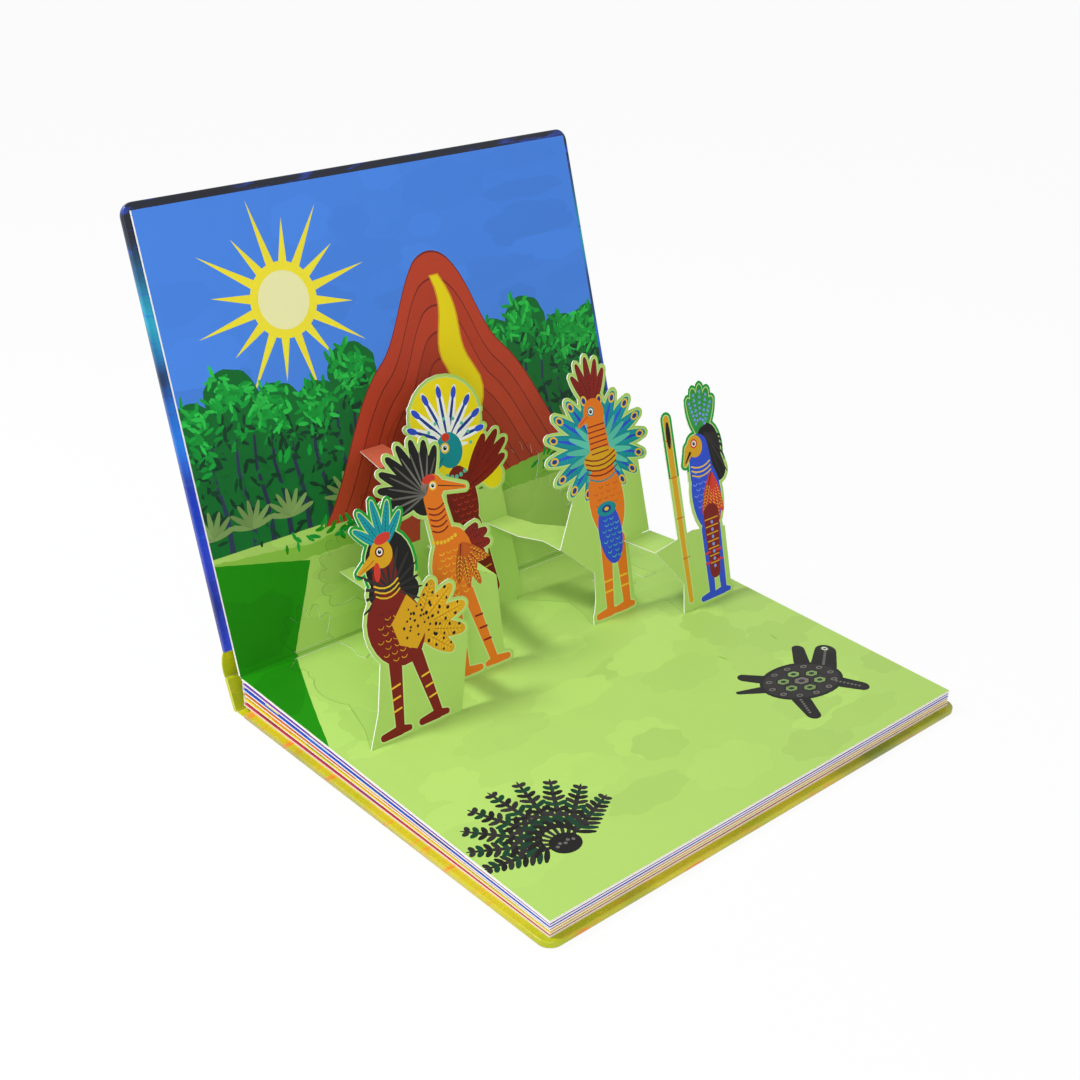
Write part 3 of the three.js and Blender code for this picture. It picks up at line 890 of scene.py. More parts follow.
def trimmed(outline: Outline, axis: int, limit: float, side: int) -> Outline:
    """The part of an outline on one side of a straight line.

    Args:
        outline: the outline.
        axis: 0 where the line is x = limit, 1 where it is y = limit.
        limit: where the line is.
        side: 1 keeps what is above the limit, -1 what is below.

    Returns:
        The outline of what is kept, empty where nothing is.
    """
    kept = []
    for a, b in zip(outline, outline[1:] + outline[:1]):
        inside_a, inside_b = (a[axis] - limit) * side >= 0, (b[axis] - limit) * side >= 0
        if inside_a:
            kept.append(a)
        if inside_a != inside_b:
            t = (limit - a[axis]) / (b[axis] - a[axis])
            kept.append((a[0] + (b[0] - a[0]) * t, a[1] + (b[1] - a[1]) * t))
    return kept


# Where a strip that is glued to the upper page ends, on its outline's y
AT_PAGE = -0.6


@dataclass
class Shape:
    """One simple outline of a figure: an oval, a limb or a feather."""

    kind: str
    values: tuple[float, ...]

    def outline(self, grow: float = 0.0) -> Outline:
        """The outline, grown outwards."""
        if self.kind == "oval":
            x, y, half_width, half_height, *tilt = self.values
            return Pen.oval(x, y, half_width + grow, half_height + grow, tilt[0] if tilt else 0.0)
        if self.kind == "limb":
            x1, y1, x2, y2, radius1, *radius2 = self.values
            return Pen.limb(x1, y1, x2, y2, radius1 + grow, (radius2[0] if radius2 else radius1) + grow)
        return Pen.feather(*self.values, grow)


def oval(*values: float) -> Shape:
    """An oval: x, y, half width, half height and tilt."""
    return Shape("oval", values)


def limb(*values: float) -> Shape:
    """A limb: x and y of both ends, and both radii."""
    return Shape("limb", values)


def feathers(*values: float) -> list[Shape]:
    """A fan of feathers, with fan's arguments."""
    return [Shape("feather", row) for row in fan(int(values[0]), *values[1:])]


def leg(hip_x: float, hip_y: float, foot_x: float, toe_x: float, radius: float) -> list[Shape]:
    """A leg with its toes."""
    back = foot_x + (foot_x - toe_x) * 0.5
    return [
        limb(hip_x, hip_y, foot_x, 5, radius * 1.5, radius),
        limb(foot_x, 3.4, toe_x, 2.8, radius, radius * 0.7),
        limb(foot_x, 3.4, back, 2.8, radius * 0.9, radius * 0.6),
    ]


@dataclass
class Figure:
    """A pop-up bird: its card, its strip and its fields of ink.

    Args:
        name: the bird.
        foot_y: place of the card's foot line on the lower page.
        strip_height: height up the card of the fold to its strip.
        strip: outline of the strip, seen from above.
        base: outline of the plain card round the legs.
        parts: name of each field of ink, its ink and its shapes, from the lowest up.
        details: lays the finer strokes over the fields.
        strip_ink: ink of the strip.
        margin: ink of the border round the bird's upper half, where it differs.
    """

    name: str
    foot_y: float
    strip_height: float
    strip: Outline
    base: Outline
    parts: list[tuple[str, Ink, list[Shape]]]
    details: Callable[[Picture], None]
    strip_ink: Ink = Inks.GRASS
    margin: Ink | None = None

    def cut(self, grow: float = 0.0) -> list[Outline]:
        """Outlines whose union is the whole card above its foot line, each grown outwards."""
        shapes = [shape for _, _, group in self.parts for shape in group]
        centre = (sum(x for x, _ in self.base) / len(self.base), sum(y for _, y in self.base) / len(self.base))
        base = [(x + math.copysign(grow, x - centre[0]), y + math.copysign(grow, y - centre[1])) for x, y in self.base]
        whole = [shape.outline(BOOK.border + grow) for shape in shapes] + [base]
        return [trimmed(outline, 1, 0.02, 1) for outline in whole]

    def picture(self, seed: int) -> Picture:
        """The picture on the card: a pale border, then the bird."""
        picture = Picture(seed)
        picture.lay(Inks.GRASS, *self.cut())
        picture.ground = len(picture.fields)
        shapes = [shape for _, _, group in self.parts for shape in group]
        if self.margin is not None:
            high = [s.outline(BOOK.border) for s in shapes if s.outline()[0][1] > 50]
            picture.lay(self.margin, *[trimmed(outline, 1, 66.0, 1) for outline in high])
        picture.lay(Inks.GRASS_LIGHT, *[s.outline(BOOK.border * 0.3) for s in shapes])
        for _, ink, shapes in self.parts:
            for shape in shapes:
                if shape.kind == "feather":
                    deep = Ink(ink.colour, ink.grain, ink.shade * 0.6)
                    pale = Ink(ink.colour, ink.grain, ink.shade * 1.5)
                    Feathering(picture, ink, deep, pale).draw(*shape.values)
                else:
                    picture.lay(ink, shape.outline())
        self.details(picture)
        return picture


def eye(picture: Picture, x: float, y: float, radius: float, ring: Ink) -> None:
    """A round eye with a ring and a glint."""
    picture.lay(ring, Pen.oval(x, y, radius * 1.5, radius * 1.5))
    picture.lay(Inks.WHITE, Pen.oval(x, y, radius, radius))
    picture.lay(Inks.BLACK, Pen.oval(x, y, radius * 0.62, radius * 0.62))
    picture.lay(Inks.WHITE, Pen.oval(x + radius * 0.2, y + radius * 0.25, radius * 0.18, radius * 0.18, 0, 8))


def scales(picture: Picture, ink: Ink, x: float, y: float, half_width: float, half_height: float, row: float) -> None:
    """Rows of small curved strokes over an oval, as breast feathers are drawn."""
    rows = int(2 * half_height / row)
    for i in range(1, rows):
        height = y - half_height + i * row
        reach = half_width * math.sqrt(max(0.0, 1 - ((height - y) / half_height) ** 2)) * 0.88
        count = max(1, int(2 * reach / (row * 1.25)))
        for k in range(count):
            centre = x - reach + (k + 0.5 + 0.5 * (i % 2) * (count > 1)) * 2 * reach / count
            if centre > x + reach:
                continue
            arc = Pen.arc(centre, height + row * 0.3, row * 0.5, 200, 340, 5)
            picture.lay(ink.varied(picture.pen.rng, 0.2), Pen.stroke(arc, 0.34, 0.34))


def spots(picture: Picture, ink: Ink, shape: Shape, count: int, size: float) -> None:
    """Dark spots spread over an oval or along a limb."""
    rng = picture.pen.rng
    for i in range(count):
        share = (i + 0.5) / count
        if shape.kind == "oval":
            x, y, half_width, half_height, *tilt = shape.values
            a, r = i * 2.39996, math.sqrt(share) * 0.86
            u, v = half_width * r * math.cos(a), half_height * r * math.sin(a)
            turn = math.radians(tilt[0] if tilt else 0.0)
            centre = (x + u * math.cos(turn) - v * math.sin(turn), y + u * math.sin(turn) + v * math.cos(turn))
        else:
            fx, fy, length, width, angle = shape.values
            turn = math.radians(angle)
            side = width * 0.25 * (1 if i % 2 else -1)
            x, y = towards(fx, fy, length * (0.2 + 0.7 * share), angle)
            centre = (x + side * math.cos(turn), y - side * math.sin(turn))
        radius = size * rng.uniform(0.7, 1.2)
        picture.lay(ink, Pen.oval(*centre, radius, radius * 0.8, rng.uniform(0, 90), 10))


def bands(
    picture: Picture, ink: Ink, x: float, y: float, half_width: float, drop: float, rows: int, pitch: float
) -> None:
    """Curved bands across a neck or breast."""
    for i in range(rows):
        level = y - i * pitch
        line = [(x + half_width * u, level - drop * (1 - u * u)) for u in (-1, -0.6, -0.2, 0.2, 0.6, 1)]
        picture.lay(ink.varied(picture.pen.rng, 0.15), Pen.stroke(line, 0.7, 0.7))


def rooster_details(picture: Picture) -> None:
    """Hackle strokes, breast scales, spots on the tail, comb, eye and leg rings."""
    rng = picture.pen.rng
    for row in fan(15, -83, 62, 19, 2.2, -150, 120):
        picture.lay(Inks.CHARCOAL.varied(rng, 0.3), Pen.feather(*row[:2], row[2], 1.4, row[4]))
    for shape in feathers(5, -74, 42, 27, 8, 34, 132):
        spots(picture, Inks.BLACK, shape, 7, 0.8)
    picture.lay(Inks.MAROON, Pen.oval(-84, 46, 13, 16, 14))
    scales(picture, Inks.OCHRE, -85, 42, 11, 12, 3.0)
    scales(picture, Inks.MAROON_DARK, -83, 50, 11, 10, 3.4)
    wing = [(-76, 58), (-70, 50), (-70, 40), (-76, 34), (-84, 38), (-86, 48)]
    picture.lay(Inks.OCHRE, wing)
    for shape in feathers(4, -80, 50, 15, 5, 88, 172):
        spots(picture, Inks.BLACK, shape, 4, 0.7)
    bands(picture, Inks.GOLD, -84.5, 66, 6.2, 2.4, 3, 2.2)
    picture.lay(Inks.OCHRE, Pen.oval(-84, 78, 5.6, 6), Pen.limb(-88, 77, -96, 73, 2.6, 0.9))
    picture.lay(Inks.RED, Pen.feather(-87, 75, 8, 3.4, 190), Pen.oval(-82, 84, 4.2, 2.2, 10))
    picture.lay(Inks.ORANGE_DEEP, Pen.stroke([(-88, 76.4), (-95.6, 72.6)], 0.5, 0.3))
    eye(picture, -84.6, 79, 1.5, Inks.MAROON)
    for x, y in ((-90, 22), (-91, 17), (-91.6, 12), (-74.4, 22), (-73.4, 17), (-72.6, 12)):
        picture.lay(Inks.GOLD, Pen.stroke([(x - 2.4, y - 0.4), (x + 2.4, y + 0.4)], 0.8, 0.8))


def crane_details(picture: Picture) -> None:
    """Crown barbs, collar beads, wing feathers, eye and leg rings."""
    rng = picture.pen.rng
    for row in fan(11, -45, 86, 21, 1.4, -110, 30):
        picture.lay(Inks.GREY.varied(rng, 0.3), Pen.feather(*row[:2], row[2], 1.0, row[4]))
    scales(picture, Inks.GOLD, -39, 49, 9.5, 13, 2.8)
    for row in fan(5, -32, 60, 22, 4.6, 128, 196):
        Feathering(picture, Inks.ORANGE_DEEP, Inks.MAROON, Inks.GOLD).draw(*row)
    bands(picture, Inks.MAROON, -41, 80, 4.4, 1.6, 5, 2.6)
    for i in range(7):
        picture.lay(Inks.GOLD, Pen.oval(-46 + i * 2.0, 64.5 - 1.2 * math.sin(i * math.pi / 6), 0.9, 0.9, 0, 10))
    picture.lay(Inks.BLACK, Pen.stroke([(-38, 88.2), (-24.4, 84.2)], 0.5, 0.3))
    picture.lay(Inks.RED, Pen.oval(-42, 92, 3.4, 2))
    eye(picture, -40.6, 88.8, 1.4, Inks.GOLD)
    for x, y in ((-41.6, 26), (-41.8, 20), (-42, 14), (-29.6, 26), (-28.4, 20), (-27.4, 14)):
        picture.lay(Inks.MAROON, Pen.stroke([(x - 2.3, y), (x + 2.3, y)], 0.9, 0.9))


def cockatoo_details(picture: Picture) -> None:
    """A plain brick-red field beside it, dark tips in the crest, a teal face, breast scales and a long tail."""
    rng = picture.pen.rng
    picture.lay(Inks.BRICK, [(-41, 44), (-26, 44), (-24, 52), (-20, 58), (-22, 82), (-41, 82)])
    for row in fan(9, 0, 84, 28, 4.6, -84, 84):
        x, y, length, _, angle = row
        picture.lay(Inks.NAVY.varied(rng, 0.2), Pen.feather(x, y, length * 0.98, 1.6, angle))
        tip = towards(x, y, length * 0.84, angle)
        picture.lay(Inks.BLUE.varied(rng, 0.2), Pen.oval(*tip, 1.5, 3.0, -angle, 12))
    for row in fan(8, 0, 82, 14, 2.4, -96, 96):
        picture.lay(Inks.WHITE, Pen.feather(*row))
    for i in range(9):
        a = math.radians(-96 + 24 * i)
        picture.lay(Inks.TEAL_LIGHT, Pen.oval(13 * math.sin(a), 82 + 13 * math.cos(a), 0.9, 0.9, 0, 10))
    picture.lay(Inks.TEAL, Pen.oval(0, 80, 7.5, 8.5), Pen.limb(-4, 78, -11, 73, 3, 1.2))
    picture.lay(Inks.TEAL_DEEP, Pen.stroke([(-4, 77.4), (-10.6, 72.8)], 0.6, 0.3))
    picture.lay(Inks.RED, Pen.oval(-1, 86.4, 2.4, 2.0))
    eye(picture, -2.4, 81.6, 1.7, Inks.GOLD)
    scales(picture, Inks.RED, 2, 53, 7.5, 13, 2.8)
    for i in range(5):
        picture.lay(Inks.TEAL_LIGHT, Pen.oval(-4 + i * 2.6, 68.5 - 1.6 * math.sin(i * math.pi / 4), 1.1, 1.1, 0, 10))
    for i in range(6):
        y = 34 - i * 4.6
        picture.lay(Inks.OCHRE, Pen.stroke([(4.6 + i * 0.9, y), (10.6 + i * 0.3, y + 0.6)], 0.6, 0.6))


def peacock_details(picture: Picture) -> None:
    """Eyes of the fan, a gold yoke, breast scales and a beaded apron."""
    rng = picture.pen.rng
    for side in (-1, 1):
        for row in fan(8, 56, 82, 33 if side < 0 else 31, 7, side * 150, side * 12):
            x, y, length, _, angle = row
            tip = towards(x, y, length * 0.86, angle)
            picture.lay(Inks.BLUE.varied(rng, 0.2), Pen.feather(x, y, length * 0.8, 2.0, angle))
            picture.lay(Inks.GOLD, Pen.oval(*tip, 1.9, 2.5, -angle, 14))
            picture.lay(Inks.NAVY, Pen.oval(*tip, 1.1, 1.6, -angle, 12))
        for row in fan(7, 56, 80, 21, 3.2, side * 140, side * 22):
            picture.lay(Inks.TEAL_LIGHT.varied(rng, 0.15), Pen.feather(*row))
    picture.lay(Inks.ORANGE, Pen.oval(55, 56, 11, 19), Pen.limb(56, 66, 56, 94, 7, 5.4))
    picture.lay(Inks.ORANGE, Pen.oval(56, 98, 6.4, 7), Pen.limb(52, 97, 46, 94, 2.2, 0.9))
    picture.lay(Inks.OCHRE, Pen.oval(55.5, 76, 10.5, 5.4))
    bands(picture, Inks.MAROON, 55.5, 78, 9.6, 2.6, 4, 2.4)
    bands(picture, Inks.TEAL, 55.5, 68, 8.6, 2.6, 1, 2.4)
    scales(picture, Inks.ORANGE_DEEP, 55, 58, 9.4, 9, 2.8)
    picture.lay(Inks.BLUE, Pen.oval(54, 40, 7.4, 15))
    scales(picture, Inks.TEAL_LIGHT, 54, 38, 6.6, 12, 2.6)
    picture.lay(Inks.TEAL, Pen.oval(54, 52, 6.2, 3.4))
    picture.lay(Inks.NAVY, Pen.oval(54, 52, 3, 1.8))
    picture.lay(Inks.GOLD, Pen.oval(54, 52, 1.4, 0.9))
    for i in range(6):
        picture.lay(Inks.MAROON, Pen.stroke([(50.6, 92 - i * 2.6), (61.4, 92 - i * 2.6)], 0.6, 0.6))
    picture.lay(Inks.RED, Pen.stroke([(52, 97.2), (46.4, 94.2)], 0.5, 0.3))
    eye(picture, 54.4, 99, 1.5, Inks.TEAL)
    for x, y in ((47.6, 18), (47, 13), (57.6, 18), (57.3, 13)):
        picture.lay(Inks.GOLD, Pen.stroke([(x - 2.6, y), (x + 2.6, y)], 0.9, 0.9))


def macaw_details(picture: Picture) -> None:
    """Crest ribs, nape strokes, a folded wing, a banded tail, the face and a leaf on the reed."""
    rng = picture.pen.rng
    for row in fan(5, 105, 80, 26, 6.4, -14, 32):
        x, y, length, _, angle = row
        for i in range(6):
            spot = towards(x, y, length * (0.35 + 0.1 * i), angle)
            picture.lay(Inks.BLUE_LIGHT, Pen.oval(*spot, 0.8, 0.8, 0, 8))
    for row in fan(9, 108, 82, 26, 2.0, 110, 196):
        picture.lay(Inks.CHARCOAL.varied(rng, 0.3), Pen.feather(*row[:2], row[2], 1.2, row[4]))
    picture.lay(Inks.BLUE, Pen.oval(103, 52, 10, 18), Pen.limb(102, 62, 102, 76, 8, 6.6))
    scales(picture, Inks.BLUE_LIGHT, 100, 55, 6.5, 13, 2.8)
    for row in fan(5, 108, 62, 26, 4.6, 168, 206):
        Feathering(picture, Inks.RED, Inks.MAROON, Inks.GOLD).draw(*row)
    picture.lay(Inks.MAROON, Pen.limb(104, 42, 101, 14, 5.4, 3.4))
    for i in range(7):
        y = 40 - i * 3.6
        half = 4.6 - i * 0.25
        picture.lay(Inks.OCHRE, Pen.stroke([(103.6 - i * 0.3 - half, y), (103.6 - i * 0.3 + half, y)], 0.6, 0.6))
        picture.lay(Inks.BLUE_LIGHT, Pen.oval(103.6 - i * 0.36, y - 1.8, 0.9, 0.9, 0, 8))
    bands(picture, Inks.GOLD, 102, 68, 6.6, 1.8, 3, 2.2)
    picture.lay(Inks.OCHRE, Pen.oval(100, 77, 5, 5.4), Pen.limb(96, 76, 92, 70, 3, 1.1))
    picture.lay(Inks.BLACK, Pen.stroke([(96.6, 75), (92.4, 70.4)], 1.6, 0.7))
    eye(picture, 99.6, 78.4, 1.5, Inks.RED)
    for y in (84, 66, 46, 26):
        picture.lay(Inks.ORANGE_DEEP, Pen.stroke([(80.8, y), (85.6, y)], 0.5, 0.5))
    picture.lay(Inks.BLACK, Pen.feather(83.6, 80, 13, 3.0, 3))
    for x, y in ((97.8, 24), (97.4, 19), (105.4, 24), (105.2, 19)):
        picture.lay(Inks.RED, Pen.stroke([(x - 2.2, y), (x + 2.2, y)], 1.0, 1.0))


FIGURES = [
    Figure(
        "rooster", -81, 31,
        [(-60.5, -81), (-49.5, -81), (-50, -60), (-52, AT_PAGE), (-60, AT_PAGE), (-61, -50)],
        [(-108, 0), (-60, 0), (-49.5, 31), (-60, 36), (-70, 40), (-94, 38), (-101, 14)],
        [
            ("rooster_tail", Inks.OCHRE, [*feathers(5, -74, 42, 27, 8, 34, 132), limb(-82, 44, -72, 42, 7)]),
            ("rooster_mane", Inks.BLACK, [oval(-81, 72, 12, 15), limb(-88, 62, -75, 60, 6)]),
            ("rooster_crest", Inks.TEAL, feathers(5, -82, 80, 21, 3.8, -50, 40)),
            ("rooster_body", Inks.MAROON, [
                oval(-84, 46, 14, 17, 14), limb(-85, 58, -84, 76, 7, 5.6),
                *leg(-88, 32, -92, -101, 2.2), *leg(-77, 32, -72, -81, 2.2),
            ]),
            ("rooster_face", Inks.OCHRE, [oval(-84, 78, 5.6, 6), limb(-88, 77, -96, 73, 2.6, 0.9)]),
        ],
        rooster_details, margin=Inks.LEAF,
    ),
    Figure(
        "crane", -63, 40.5,
        [(-28.3, -63), (-16, -63), (-15, -49), (-9.5, -26), (-9, -21.4), (-23, -21.4), (-26, -40)],
        [(-50, 0), (-20, 0), (-16, 40.5), (-26, 46), (-46, 42)],
        [
            ("crane_crown", Inks.BLACK, [*feathers(9, -45, 86, 27, 5.6, -104, 26), oval(-46, 86, 8, 9)]),
            ("crane_tail", Inks.MAROON, [*feathers(4, -34, 58, 19, 6.4, 58, 112), limb(-40, 56, -32, 56, 5)]),
            ("crane_body", Inks.ORANGE, [
                oval(-38, 52, 11.5, 17, -14), limb(-40, 64, -42, 84, 5.6, 4.8), oval(-41, 88, 6, 6),
                limb(-37, 88, -24, 84, 2.6, 0.9), *leg(-41, 38, -42, -34, 2.1), *leg(-33, 38, -26, -18, 2.1),
            ]),
        ],
        crane_details,
    ),
    Figure(
        "cockatoo", -21, 82,
        [(-40, -21), (-23, -21), (-23, AT_PAGE), (-36, AT_PAGE)],
        [(-41, 0), (27, 0), (26, 56), (-10, 60), (-22, 82), (-40, 82)],
        [
            ("cockatoo_ground", Inks.PATH, [
                oval(1, 95, 20, 19), limb(8, 86, 22, 62, 12, 6), limb(-14, 84, 4, 70, 8, 10),
            ]),
            ("cockatoo_crest", Inks.WHITE, feathers(9, 0, 84, 28, 4.6, -84, 84)),
            ("cockatoo_body", Inks.MAROON, [
                oval(2, 55, 9, 17), *feathers(4, 6, 60, 34, 6.6, 34, 68), limb(4, 42, 11, 10, 6.4, 3),
            ]),
            ("cockatoo_head", Inks.TEAL, [oval(0, 80, 7.5, 8.5), limb(-4, 78, -11, 73, 3, 1.2)]),
        ],
        cockatoo_details, Inks.BRICK_LIGHT,
    ),
    Figure(
        "peacock", -64, 41,
        [(22, -64), (40, -64), (41, -48), (31, -37), (26, -21.4), (13, -21.4), (16, -41), (22, -52)],
        [
            (34, 0), (62, 0), (64, 34), (78.5, 34.5), (79, 72), (60, 78), (40, 70), (22, 41), (31, 33), (40, 24),
            (38, 12),
        ],
        [
            ("peacock_fan", Inks.TEAL, [
                *feathers(8, 56, 82, 33, 7, -150, -12), *feathers(8, 56, 82, 31, 7, 150, 12), oval(56, 84, 14, 20),
            ]),
            ("peacock_crest", Inks.MAROON, feathers(5, 56, 100, 25, 4.6, -30, 30)),
            ("peacock_body", Inks.ORANGE, [
                oval(55, 56, 11, 19), limb(56, 66, 56, 94, 7, 5.4), oval(56, 98, 6.4, 7),
                limb(52, 97, 46, 94, 2.2, 0.9), *leg(50, 36, 46, 38, 2.3), *leg(59, 36, 57, 50, 2.3),
            ]),
            ("peacock_apron", Inks.BLUE, [oval(54, 40, 7.4, 15)]),
        ],
        peacock_details,
    ),
    Figure(
        "macaw", -83, 34.3,
        [(64, -83), (81.5, -83), (78.5, -64.4), (61.2, -64.4)],
        [(76, 0), (110, 0), (112, 34), (90, 38), (64, 34.3), (72, 24), (79, 14)],
        [
            ("macaw_crest", Inks.GREEN, feathers(5, 105, 80, 26, 6.4, -14, 32)),
            ("macaw_mane", Inks.BLACK, [oval(110, 74, 7, 12), limb(108, 80, 113, 62, 5.4)]),
            ("macaw_body", Inks.BLUE, [
                oval(103, 52, 10, 18), limb(102, 62, 102, 76, 8, 6.6),
                *leg(99, 36, 97, 90, 2), *leg(106, 36, 105, 98, 2),
            ]),
            ("macaw_face", Inks.OCHRE, [oval(100, 77, 5, 5.4), limb(96, 76, 92, 70, 3, 1.1)]),
            ("macaw_reed", Inks.OCHRE, [limb(84, 94, 82, 5, 1.8, 1.4)]),
            ("macaw_tail", Inks.MAROON, [limb(104, 42, 101, 14, 5.4, 3.4)]),
        ],
        macaw_details, margin=Inks.LEAF,
    ),
]


@dataclass
class Weighting:
    """How far each point of a piece turns with the upper page, as a smooth step along a line.

    Args:
        start: point where the turning starts, in millimetres in the lower page's frame, as (y, z).
        end: point where it is complete.
    """

    start: tuple[float, float]
    end: tuple[float, float]

    @staticmethod
    def wanted(y: float, z: float) -> float:
        """The share of the turn at which a pop-up closes flat between the pages."""
        polar = math.degrees(math.atan2(z, y))
        return min(1.0, max(0.0, (180.0 - polar) / BOOK.open_angle))

    @staticmethod
    def inverse(share: float) -> float:
        """The place along the line at which the smooth step reaches a share."""
        low, high = 0.0, 1.0
        for _ in range(40):
            middle = (low + high) / 2
            low, high = (middle, high) if middle * middle * (3 - 2 * middle) < share else (low, middle)
        return low

    @classmethod
    def between(
        cls, first: tuple[float, float], share1: float, last: tuple[float, float], share2: float
    ) -> "Weighting":
        """The line along which two points get the given shares."""
        t1, t2 = cls.inverse(share1), cls.inverse(min(share2, 0.9999))
        run = (last[0] - first[0], last[1] - first[1])
        per = 1.0 / max(t2 - t1, 1e-3)
        start = (first[0] - run[0] * t1 * per, first[1] - run[1] * t1 * per)
        return cls(start, (start[0] + run[0] * per, start[1] + run[1] * per))

    @classmethod
    def for_card(cls, foot_y: float, top: float) -> "Weighting":
        """The line that comes nearest to the shares that an upright card needs.

        No such line fits all of a card. Where it can't, this one turns the card too far rather than too little, so
        when the book is closed the card passes into the leaves, by up to about 27 mm.

        Args:
            foot_y: place of the card's foot line.
            top: height up the card to which the line is fitted.

        Returns:
            The line.
        """
        up = (math.cos(BOOK.flap), math.sin(BOOK.flap))
        s = np.linspace(0.0, top, 24)
        want = np.array([cls.wanted(foot_y + v * up[0], max(v * up[1], 1e-6)) for v in s])
        best = (1e9, 0.0, 1.0)
        for before in np.linspace(0.0, 40.0, 41):
            for reach in np.linspace(top * 0.9, top * 4.0, 63):
                t = np.clip((s + before) / reach, 0, 1)
                error = t * t * (3 - 2 * t) - want
                cost = float(np.max(np.where(error > 0, error / 2.2, -error)))
                best = min(best, (cost, before, reach))
        _, before, reach = best
        start = (foot_y - before * up[0], -before * up[1])
        return cls(start, (start[0] + reach * up[0], start[1] + reach * up[1]))

    def share(self, y: float, z: float) -> float:
        """The share of the turn at a point."""
        run = (self.end[0] - self.start[0], self.end[1] - self.start[1])
        along = ((y - self.start[0]) * run[0] + (z - self.start[1]) * run[1]) / (run[0] ** 2 + run[1] ** 2)
        t = min(1.0, max(0.0, along))
        return t * t * (3 - 2 * t)

    def apply(self, piece: bpy.types.Object) -> None:
        """Bakes the piece's placement into its mesh."""
        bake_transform(piece)


@dataclass
class PopUp:
    """The five birds on their cards, with the strips that carry them."""

    figures: list[Figure] = field(default_factory=lambda: FIGURES)

    def build(self) -> None:
        """Builds every card and its strip, works out their turn lines, and bakes their placement into their meshes."""
        turns = {figure.name: Weighting.for_card(figure.foot_y, 112.0) for figure in self.figures}
        for seed, figure in enumerate(self.figures, 1):
            front, thickness = 0.14, BOOK.card_thickness + 0.14
            place = PLACES.card(figure.foot_y)
            back = Inks.GRASS_LIGHT
            sheet = PrintedSheet(f"{figure.name}_figure", figure.picture(seed), place, front, thickness, back)
            card = sheet.build()
            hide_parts(*[f"{figure.name}_card"], *[name for name, _, _ in figure.parts])
            turns[figure.name].apply(card)
            strip = self.strip(figure, seed)
            self.turn_strip(figure, strip, turns)

    def strip(self, figure: Figure, seed: int) -> bpy.types.Object:
        """Builds the flat strip that carries a card."""
        picture = Picture(seed + 50)
        rows = sorted({y for _, y in figure.strip})
        low, high = rows[0], rows[-1]
        picture.lay(figure.strip_ink, figure.strip)
        for i in range(5):
            y = low + (high - low) * (0.15 + 0.17 * i)
            shade = Ink(figure.strip_ink.colour, 0.5, 0.97 + 0.02 * (i % 2))
            picture.lay(shade, *[trimmed(trimmed(figure.strip, 1, y, 1), 1, y + 1.6, -1)])
        # Lighter lines along both folds of the strip: partly the print cracked white at the crease, partly a painted
        # highlight on the bent edge.
        crease_crack_and_highlight = Ink(figure.strip_ink.colour, 0.2, 1.16)
        picture.lay(crease_crack_and_highlight, trimmed(figure.strip, 1, low + 0.7, -1), trimmed(figure.strip, 1, high - 0.7, 1))
        name = f"{figure.name}_support"
        place = PLACES.strip(figure.strip_height)
        piece = PrintedSheet(
            name, picture, place, 0.0, BOOK.card_thickness, Inks.GRASS_LIGHT, Finish.STRIP
        ).build()
        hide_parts(f"{figure.name}_card")
        return piece

    def turn_strip(self, figure: Figure, strip: bpy.types.Object, turns: dict[str, Weighting]) -> None:
        """Works out the strip's turn line from what its ends are glued to, and bakes the strip's placement into its
        mesh.
        """
        lean, rise = math.cos(BOOK.flap), math.sin(BOOK.flap)
        height = figure.strip_height
        near = (figure.foot_y + height * lean, height * rise)
        far = (max(y for _, y in figure.strip) + height * lean, height * rise)
        carrier = {"crane": "cockatoo", "peacock": "cockatoo", "macaw": "peacock"}.get(figure.name)
        far_share = turns[carrier].share(*far) if carrier else 1.0
        Weighting.between(near, turns[figure.name].share(*near), far, far_share).apply(strip)


